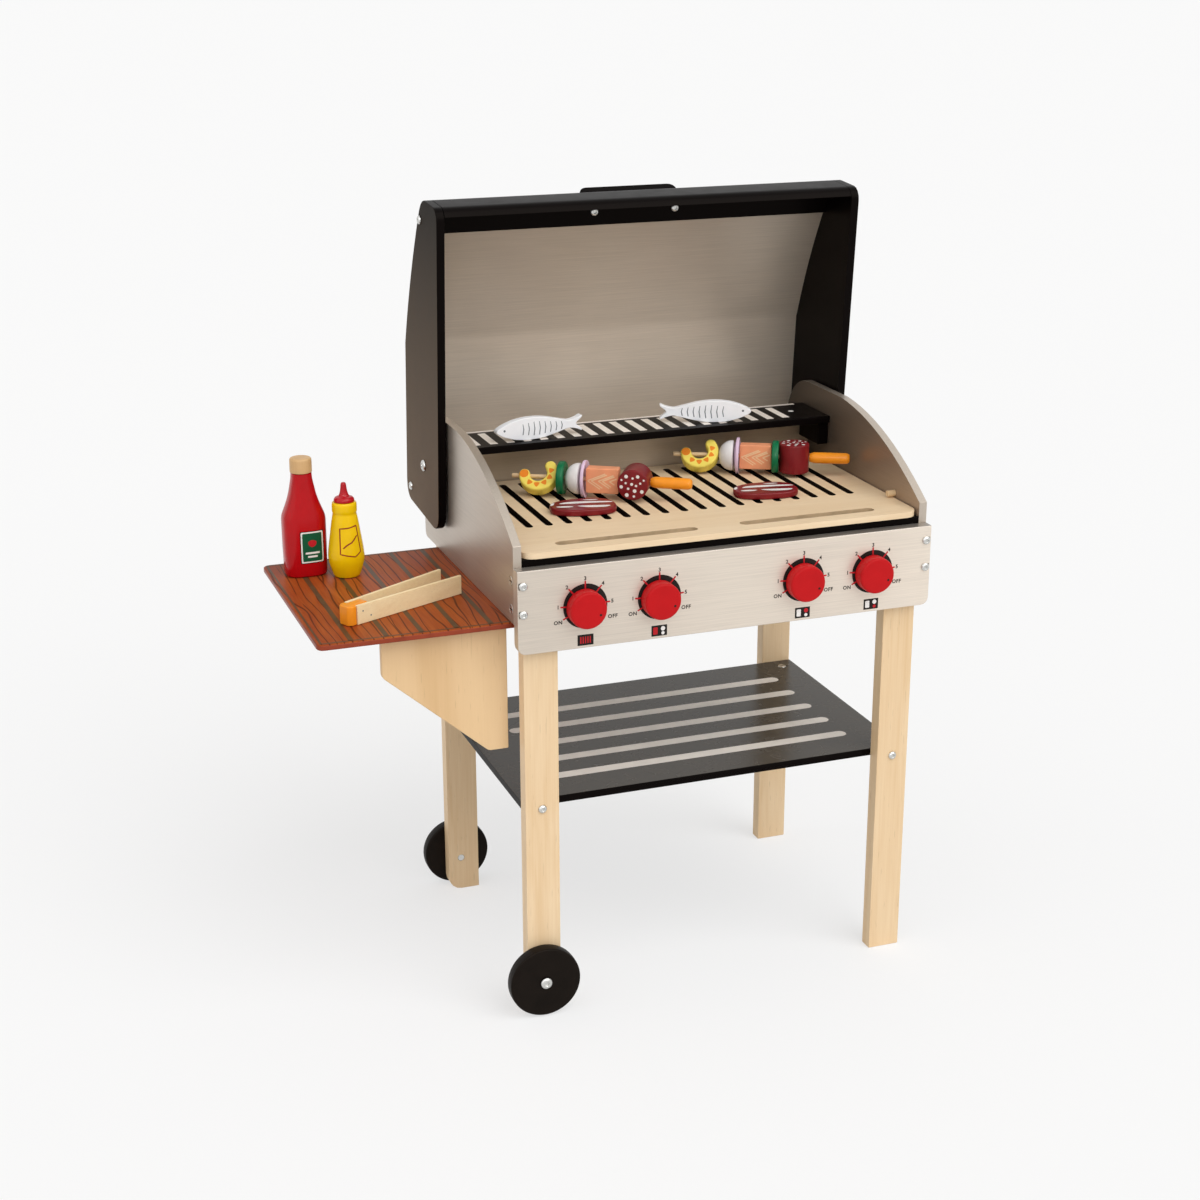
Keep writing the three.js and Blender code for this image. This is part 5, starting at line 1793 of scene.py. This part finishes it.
@dataclass
class Fish:
    """A flat white fish that stands on its belly, its nose at the low end of x.

    Attributes:
        name: Its CAD node, which is also its body.
        x: Where its middle is across the grill.
        y: Where its middle is from front to back.
        degrees: How far it is turned.
        z: The height it stands at.
        length: Its length with the tail.
        height: Its height.
        thickness: Its thickness.
        tail: The length of its tail.
        eye: Where its eye is, from the middle.
        ribs: How many ribs it has.
        first_rib: Where the first rib is, from the middle.
        rib_pitch: The distance from rib to rib.
        longest_rib: The place of the longest rib, counted in ribs from the first.
        rib_reach: How far a rib at that place goes up and down.
        rib_loss: How much less a rib reaches for each rib it is away from that place.
        rib_bend: How far a rib bends back.
        rib_width: The width of a rib.
    """

    name: str
    x: float
    y: float
    degrees: float
    z: float = 451.3
    length: float = 82.0
    height: float = 19.6
    thickness: float = 7.0
    tail: float = 13.0
    eye: float = -34.0
    ribs: int = 8
    first_rib: float = -16.5
    rib_pitch: float = 5.3
    longest_rib: float = 2.4
    rib_reach: float = 6.0
    rib_loss: float = 0.6
    rib_bend: float = 0.8
    rib_width: float = 0.85

    def outline(self) -> Outline:
        """Draw the fish.

        Returns:
            Its points in order, its nose at the low end of x.
        """
        half = self.length / 2
        high = self.height / 2
        body = self.length - self.tail
        shares = ((0.0, 0.1), (0.04, 0.31), (0.12, 0.57), (0.24, 0.84), (0.38, 0.985))
        shares += ((0.54, 0.995), (0.69, 0.87), (0.83, 0.64), (0.95, 0.43), (1.02, 0.36))
        upper = [(body * along - half, high * across) for along, across in shares]
        upper += [(half - 5.4, high * 0.5), (half - 0.8, high * 0.7), (half - 0.6, high * 0.5)]
        under = [(x, -y) for x, y in upper]
        return smoothed([*under, (half - self.tail / 2 + 0.6, 0.0), *upper[::-1]], 5)

    def build(self) -> None:
        """Shape the fish and print its eyes and ribs."""
        name = self.name
        place = bench(self.x, self.y, self.z + self.height / 2) @ turn(self.degrees, Axis.Z)
        half = self.thickness / 2
        near = place @ shift(0, -half, 0) @ FACES_FRONT
        far = place @ shift(0, half, 0) @ FACES_BACK
        body = Piece(f"{name}_shape", FISH_WHITE, name, "fish_white", (name,), 0.9, 4, 50.0)
        body.extruded(self.outline(), self.thickness, place @ shift(0, half, 0) @ FACES_FRONT).done()
        for side, way, face in (("near", 1, near), ("far", -1, far)):
            ribs = Print(f"{name}_{side}_ribs", INK_GREY, name, face)
            ribs.shapes([disc(way * self.eye, 0.6, 1.0)])
            for step in range(self.ribs):
                x = way * (self.first_rib + self.rib_pitch * step)
                reach = self.rib_reach - abs(step - self.longest_rib) * self.rib_loss
                bend = x + way * self.rib_bend
                lower = stroke(x, -reach, bend, 0.0, self.rib_width)
                ribs.shapes([lower, stroke(bend, 0.0, x, reach, self.rib_width, 0.6)])
            ribs.done()


@dataclass
class Steak:
    """A flat steak with pale streaks."""

    name: str
    x: float
    y: float
    degrees: float
    z: float = 408.3
    length: float = 60.0
    width: float = 39.0
    thickness: float = 5.6

    def build(self) -> None:
        """Shape the steak and print its streaks."""
        name = self.name
        place = bench(self.x, self.y, self.z) @ turn(self.degrees, Axis.Z)
        steps = 80
        outline = []
        for step in range(steps):
            angle = TAU * step / steps
            bean = 1 - 0.06 * (1 + math.cos(angle * 2 + 1) * math.sin(angle))
            across, along = rounded_square(angle, 0.8)
            outline.append((self.length / 2 * across * bean, self.width / 2 * along * bean))
        body = Piece(f"{name}_shape", STEAK_RED, name, "steak_red", (name,), 1.4, 4)
        body.extruded(outline, self.thickness, place).done()
        streaks = (
            [(-19, 4.4), (-13, 8.6), (4, 8.4), (23, 5.0), (25, 1.8), (8, 2.8), (-8, 3.4)],
            [(-23, -3.0), (-15, -2.8), (-9, -5.0), (-13, -7.0), (-21, -6.0)],
            [(-5, -4.0), (10, -5.0), (22, -7.2), (17, -11.2), (3, -9.6)],
            [(2, 13.0), (10, 13.6), (16, 12.0), (9, 11.2)],
            [(-27.4, 1.0), (-26, 6.0), (-23, 8.2), (-24.6, 2.4)],
        )
        top = Print(f"{name}_streaks", INK_WHITE, name, place @ shift(0, 0, self.thickness))
        top.shapes(smoothed(corners, 6) for corners in streaks).done()


class Food(Enum):
    """A food on a skewer, by its word in the name of its CAD node."""

    PRAWN = "prawn"
    PEPPER = "pepper"
    MUSHROOM = "mushroom"
    ONION = "onion"
    SALMON = "salmon"
    SALAMI = "salami"


@dataclass
class Skewer:
    """A skewer: a stick along x with foods threaded on it.

    Attributes:
        side: The side of the grill it lies on.
        x: Where its tip is across the grill.
        y: Where its tip is from front to back.
        degrees: How far it is turned.
        foods: Its foods, from the tip.
        salami_up: Whether the salami stands on end.
        z: The height of its stick.
        tip: How much of the stick is bare at the tip.
        fit: The gap between two foods.
        handle: The length of its handle.
        bore: The radius of the hole in each slice.
        onion_radius: The radius of the onion slice.
        lengths: How much of the stick each food takes.
    """

    side: str
    x: float
    y: float
    degrees: float
    foods: tuple[Food, ...]
    salami_up: bool
    z: float = 424.5
    tip: float = 7.0
    fit: float = 0.3
    handle: float = 36.0
    bore: float = 2.4
    onion_radius: float = 16.2
    lengths: dict[Food, float] = field(
        default_factory=lambda: {
            Food.PRAWN: 34.0,
            Food.PEPPER: 6.0,
            Food.MUSHROOM: 13.0,
            Food.ONION: 5.0,
            Food.SALMON: 28.5,
            Food.SALAMI: 26.6,
        }
    )

    @property
    def body(self) -> str:
        """The body that the skewer rides on."""
        return f"{self.side}_skewer"

    def build(self) -> None:
        """Thread each food, then add the stick and its handle."""
        place = bench(self.x, self.y, self.z) @ turn(self.degrees, Axis.Z)
        makers = {
            Food.PRAWN: self.build_prawn,
            Food.PEPPER: self.build_pepper,
            Food.MUSHROOM: self.build_mushroom,
            Food.ONION: self.build_onion,
            Food.SALMON: self.build_salmon,
            Food.SALAMI: self.build_salami,
        }
        at = self.tip
        for food in self.foods:
            makers[food](place @ shift(at, 0, 0))
            at += self.lengths[food] + self.fit
        self.build_stick(place, at)

    def piece(self, part: str, finish: Finish, slot: str, edge: float = 0.0, sharp: float = 34.0) -> Piece:
        """Start a part of the skewer that stands for its CAD node.

        Args:
            part: Its word in the node's name.
            finish: Its finish.
            slot: Its material slot in the record.
            edge: The width of its softened edges.
            sharp: The angle from which a bend is an edge.

        Returns:
            The piece, still empty.
        """
        node = f"{self.body}_{part}"
        return Piece(f"{node}_shape", finish, self.body, slot, (node,), edge, 4, sharp)

    def printed(self, name: str, ink: Finish, place: Matrix, outlines: Iterable[Outline]) -> None:
        """Print shapes on a food.

        Args:
            name: The print's name, after the skewer's.
            ink: Its finish.
            place: Where it is drawn.
            outlines: The points of each shape in order.
        """
        Print(f"{self.body}_{name}", ink, self.body, place).shapes(outlines).done()

    def build_stick(self, place: Matrix, end: float) -> None:
        """Turn the thin rod and the orange handle.

        Args:
            place: The skewer's place.
            end: Where the handle starts along it.
        """
        along = place @ turn(90, Axis.Y)
        stick = [(0, 0), (1.9, 0.2, 0.8), (1.98, 3), (1.98, end + 4), (0, end + 4)]
        rod = Piece(f"{self.body}_rod", PEG_BIRCH, self.body, "birch")
        rod.turned(eased(stick), along, 32).done()
        far = end + self.handle
        profile = [(0, end), (3.4, end, 0.6), (4.9, end + 3.4, 2.0), (5.0, end + 14, 4.0)]
        profile += [(4.9, far - 0.4, 4.6), (0, far)]
        grip = self.piece("stick", ORANGE, "orange_paint")
        grip.turned(eased(profile, 8), along, 48).done()

    def build_prawn(self, place: Matrix) -> None:
        """Bend the prawn and print its spots and its tail.

        Args:
            place: Its place on the stick.
        """
        radius, band, thick, leaning = 17.0, 9.5, 11.0, -45.0
        spine = radius - band / 2
        tail, head = 185.0, 400.0
        bends = ((radius, tail, head, head), (radius - band, head, tail, tail + 180))
        outline = []
        for reach, start, end, round_from in bends:
            outline += arc(0, 0, reach, start, end, 40)
            middle = heading(end) * spine
            outline += arc(*middle, band / 2, round_from, round_from + 180, 8)[1:-1]
        lift = radius - self.onion_radius
        centre = place @ shift(radius, 0, 0) @ turn(leaning, Axis.X) @ shift(0, 0, lift)
        body = self.piece("prawn", PRAWN_YELLOW, "prawn_yellow", 1.8, 40.0)
        body.extruded(outline, thick, centre @ shift(0, thick / 2, 0) @ FACES_FRONT).done()
        spots = []
        for degrees in (238, 272, 306, 340, 374):
            away = heading(degrees)
            side = Vector((-away.y, away.x)) * 2.5
            foot = away * (spine - 2.2)
            corners = (away * (spine + 2.0), foot + side, foot - side)
            spots.append(smoothed([tuple(corner) for corner in corners], 4))
        fan = heading(190) * spine
        spots.append(disc(fan.x, fan.y + 0.6, 3.9))
        front = centre @ shift(0, -thick / 2, 0) @ FACES_FRONT
        self.printed("prawn_spots", INK_ORANGE, front, spots)

    def build_pepper(self, place: Matrix) -> None:
        """Turn the green slice, hollowed on both faces.

        Args:
            place: Its place on the stick.
        """
        outer, thick, hollow, sunk, bore = 14.5, self.lengths[Food.PEPPER], 9.0, 0.7, self.bore
        profile = [
            (bore, sunk),
            (hollow, sunk, 1.0),
            (hollow + 1.2, 0, 0.6),
            (outer - 0.3, 0, 1.4),
            (outer, thick / 2, 1.0),
            (outer - 0.3, thick, 1.4),
            (hollow + 1.2, thick, 0.6),
            (hollow, thick - sunk, 1.0),
            (bore, thick - sunk),
            (bore, sunk),
        ]
        ring = self.piece("pepper", PEPPER_GREEN, "pepper_green")
        ring.turned(eased(profile), place @ turn(90, Axis.Y), 64).done()

    def build_onion(self, place: Matrix) -> None:
        """Turn the lilac slice, dished towards the mushroom.

        Args:
            place: Its place on the stick.
        """
        thick, outer = 2.6, self.onion_radius
        rise = (0.0, 0.05, 0.25, 0.6, 1.15, 1.85, 2.3)
        steps = len(rise) - 1
        radii = [self.bore + (outer - 2.6) * step / steps for step in range(steps + 1)]
        below = list(zip(radii, rise))
        above = [(radius, height + thick) for radius, height in below]
        rim = [(outer, rise[-1] + thick * 0.3), (outer, rise[-1] + thick * 0.75)]
        dish = self.piece("onion", ONION_LILAC, "onion_lilac")
        dish.turned([*below, *rim, *above[::-1], below[0]], place @ turn(90, Axis.Y), 64).done()

    def build_mushroom(self, place: Matrix) -> None:
        """Turn the white cap.

        Args:
            place: Its place on the stick.
        """
        wide, deep, bore, start = 13.5, self.lengths[Food.MUSHROOM], self.bore, 0.15
        steps = 14
        profile = [(bore, start)]
        for step in range(1, steps + 1):
            angle = TAU / 4 * step / steps
            radius = bore + (wide - bore) * math.sin(angle)
            profile.append((radius, start + (deep - 1.2) * (1 - math.cos(angle))))
        profile += [(wide - 0.2, deep - 0.4), (wide - 0.8, deep), (bore, deep), (bore, start)]
        cap = self.piece("mushroom", MUSHROOM_WHITE, "mushroom_white")
        cap.turned(profile, place @ turn(90, Axis.Y), 56).done()

    def build_salmon(self, place: Matrix) -> None:
        """Cut the salmon block and print pale chevrons on its front and back.

        Args:
            place: Its place on the stick.
        """
        long, high, deep = self.lengths[Food.SALMON], 22.0, 11.0
        outline = rounded_box(long / 2, 0, long, high, 1.5)
        block = self.piece("salmon", SALMON_PINK, "salmon_pink", 0.9, 60.0)
        block.extruded(outline, deep, place @ shift(0, deep / 2, 0) @ FACES_FRONT).done()
        chevrons = []
        for x, reach in ((1.8, 15.0), (5.2, 13.0), (11.4, 12.6), (14.8, 10.0), (21.0, 5.6)):
            chevrons.append(stroke(x + reach, reach * 0.43, x, 0.1, 1.15, 0.9))
            chevrons.append(stroke(x, -0.1, x + reach * 0.7, -reach * 0.46, 1.05, 0.9))
        front = place @ shift(0, -deep / 2, 0) @ FACES_FRONT
        back = place @ shift(long, deep / 2, 0) @ FACES_BACK
        for name, face in (("front", front), ("back", back)):
            self.printed(f"salmon_{name}_lines", INK_PEACH, face, chevrons)

    def build_salami(self, place: Matrix) -> None:
        """Turn the salami, with pale spots on its end faces.

        Args:
            place: Its place on the stick.
        """
        radius, half = 13.3, 13.0
        middle = place @ shift(radius, 0, 0)
        axis = middle if self.salami_up else middle @ FACES_FRONT
        profile = [(0, -half), (radius, -half, 1.1), (radius, half, 1.1), (0, half)]
        roll = self.piece("salami", SALAMI_RED, "salami_red")
        roll.turned(eased(profile), axis, 72).done()
        dots = ((-0.6, 0.8, 1.3), (-5.4, 7.4, 1.6), (4.6, 7.6, 1.5), (0.2, 6.0, 1.0), (-5.8, 1.6, 1.0))
        dots += ((3.2, -0.4, 1.1), (6.8, 1.8, 1.0), (-9.6, -1.8, 1.5), (-3.6, -3.2, 1.1), (2.0, -5.0, 1.6))
        dots += ((8.2, -5.4, 1.6), (-4.8, -8.8, 1.7), (1.4, -9.8, 1.1), (9.8, 4.6, 0.9), (-9.4, 4.2, 0.9))
        spots = [disc(x, y, size, 14) for x, y, size in dots]
        near = shift(0, 0, half)
        for end, face in (("near", near), ("far", turn(180, Axis.X) @ near)):
            self.printed(f"salami_{end}_spots", INK_WHITE, axis @ face, spots)


@dataclass(frozen=True)
class Sun:
    """A light that shines one way everywhere.

    Attributes:
        name: Its name.
        strength: Its strength.
        spread: How many degrees wide it looks.
        towards: The way its light goes.
        lights_matt: Whether it lights matt surfaces too, and not only glints.
    """

    name: str
    strength: float
    spread: float
    towards: Point
    lights_matt: bool = True

    def build(self) -> None:
        """Hang the light."""
        light = bpy.data.lights.new(self.name, "SUN")
        light.energy = self.strength
        light.angle = math.radians(self.spread)
        lamp = bpy.data.objects.new(self.name, light)
        lamp.rotation_euler = Vector(self.towards).to_track_quat("-Z", "Y").to_euler()
        lamp.visible_diffuse = self.lights_matt
        bpy.context.scene.collection.objects.link(lamp)


@dataclass
class Studio:
    """Pale floor, soft light and the camera.

    Attributes:
        floor_colour: The floor's colour.
        floor_reach: How far the floor goes each way, in metres.
        floor_glow: The share of plain white the camera sees in it.
        background: The brightness the camera sees past it.
        ambient: The strength of the light from all round.
        suns: The lights.
        camera_place: Where the camera is, in metres.
        yaw: How far it looks to the right.
        pitch: How far it looks up.
        roll: How far it leans.
        lens: Its lens in millimetres, for a sensor 36 mm wide.
    """

    floor_colour: Colour = (0.895, 0.895, 0.895)
    floor_reach: float = 60.0
    floor_glow: float = 0.6
    background: float = 0.947
    ambient: float = 0.5
    suns: tuple[Sun, ...] = (
        Sun("key_light", 1.68, 55.0, (-0.35, 0.72, -0.8)),
        Sun("fill_light", 0.6, 80.0, (0.8, 0.35, -0.6)),
        Sun("glint_light", 0.45, 6.0, (0.3, 0.8, -0.45), lights_matt=False),
    )
    camera_place: Point = (-0.56286, -1.57406, 0.88245)
    yaw: float = 20.02
    pitch: float = -18.73
    roll: float = -0.15
    lens: float = 60.496

    def build(self) -> None:
        """Build the floor, the lights, the world and the camera."""
        self.build_floor()
        self.build_world()
        for sun in self.suns:
            sun.build()
        self.build_camera()
        bpy.context.scene.view_settings.view_transform = "Standard"

    def build_floor(self) -> None:
        """Lay the floor."""
        mesh = bmesh.new()
        reach = self.floor_reach
        corners = ((-reach, -reach), (reach, -reach), (reach, reach), (-reach, reach))
        flat(mesh, corners, Matrix.Identity(4))
        data = bpy.data.meshes.new("floor")
        mesh.to_mesh(data)
        mesh.free()
        floor = bpy.data.objects.new("floor", data)
        bpy.context.scene.collection.objects.link(floor)
        shader = Shader("studio_floor")
        cloud = shader.noise(shader.even(1.5), 2.0)
        colour = shader.mixed(cloud, toned(self.floor_colour, 0.995), toned(self.floor_colour, 1.005))
        data.materials.append(shader.dress(base_color=colour, roughness=1.0, specular_ior_level=0.0))
        glow = shader.add("Emission", {"Color": (1.0, 1.0, 1.0), "Strength": 1.0})
        share = shader.worked("MULTIPLY", seen_directly(shader.tree), self.floor_glow)
        mix = shader.add("MixShader", {0: share, 1: shader.surface.outputs[0], 2: glow.outputs[0]})
        shader.put(shader.tree.nodes["Material Output"].inputs[0], mix.outputs[0])

    def build_world(self) -> None:
        """Light the scene from all round, and show the camera a plain pale background."""
        world = bpy.data.worlds.new("studio")
        bpy.context.scene.world = world
        world.use_nodes = True
        tree = world.node_tree
        back = tree.nodes["Background"]
        back.inputs["Color"].default_value = (1.0, 0.995, 0.985, 1.0)
        back.inputs["Strength"].default_value = self.ambient
        seen = tree.nodes.new("ShaderNodeBackground")
        seen.inputs["Color"].default_value = (1.0, 1.0, 1.0, 1.0)
        seen.inputs["Strength"].default_value = self.background
        mix = tree.nodes.new("ShaderNodeMixShader")
        tree.links.new(seen_directly(tree), mix.inputs[0])
        tree.links.new(back.outputs[0], mix.inputs[1])
        tree.links.new(seen.outputs[0], mix.inputs[2])
        tree.links.new(mix.outputs[0], tree.nodes["World Output"].inputs[0])

    def build_camera(self) -> None:
        """Stand the camera where the photograph was taken from."""
        data = bpy.data.cameras.new("camera")
        data.sensor_width = 36.0
        data.lens = self.lens
        data.clip_end = 200.0
        camera = bpy.data.objects.new("camera", data)
        look = turn(-self.yaw, Axis.Z) @ turn(90 + self.pitch, Axis.X) @ turn(self.roll, Axis.Z)
        camera.matrix_world = Matrix.Translation(self.camera_place) @ look
        bpy.context.scene.collection.objects.link(camera)
        bpy.context.scene.camera = camera


def main() -> None:
    """Build every sub-assembly in order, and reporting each."""
    logging.basicConfig(level=logging.INFO, format="%(message)s")
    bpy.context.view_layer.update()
    left_foods = (Food.PRAWN, Food.PEPPER, Food.MUSHROOM, Food.ONION, Food.SALMON, Food.SALAMI)
    right_foods = (Food.PRAWN, Food.MUSHROOM, Food.ONION, Food.SALMON, Food.PEPPER, Food.SALAMI)
    parts = (
        Legs(),
        Firebox(),
        ControlPanel(),
        Hood(),
        SideTable(),
        LowerShelf(),
        Wheels(),
        Bottles(),
        Tongs(),
        Fish("left_fish", 84.0, 197.0, 7.0),
        Fish("right_fish", 243.0, 201.0, 161.0),
        Steak("left_steak", 93.0, 108.0, -8.0),
        Steak("right_steak", 258.0, 101.0, -6.0),
        Skewer("left", 54.0, 180.7, -31.4, left_foods, False),
        Skewer("right", 212.2, 200.0, -27.2, right_foods, True),
        Studio(),
    )
    for part in parts:
        part.build()
        LOG.info("built %s", type(part).__name__)


if __name__ == "__main__":
    main()
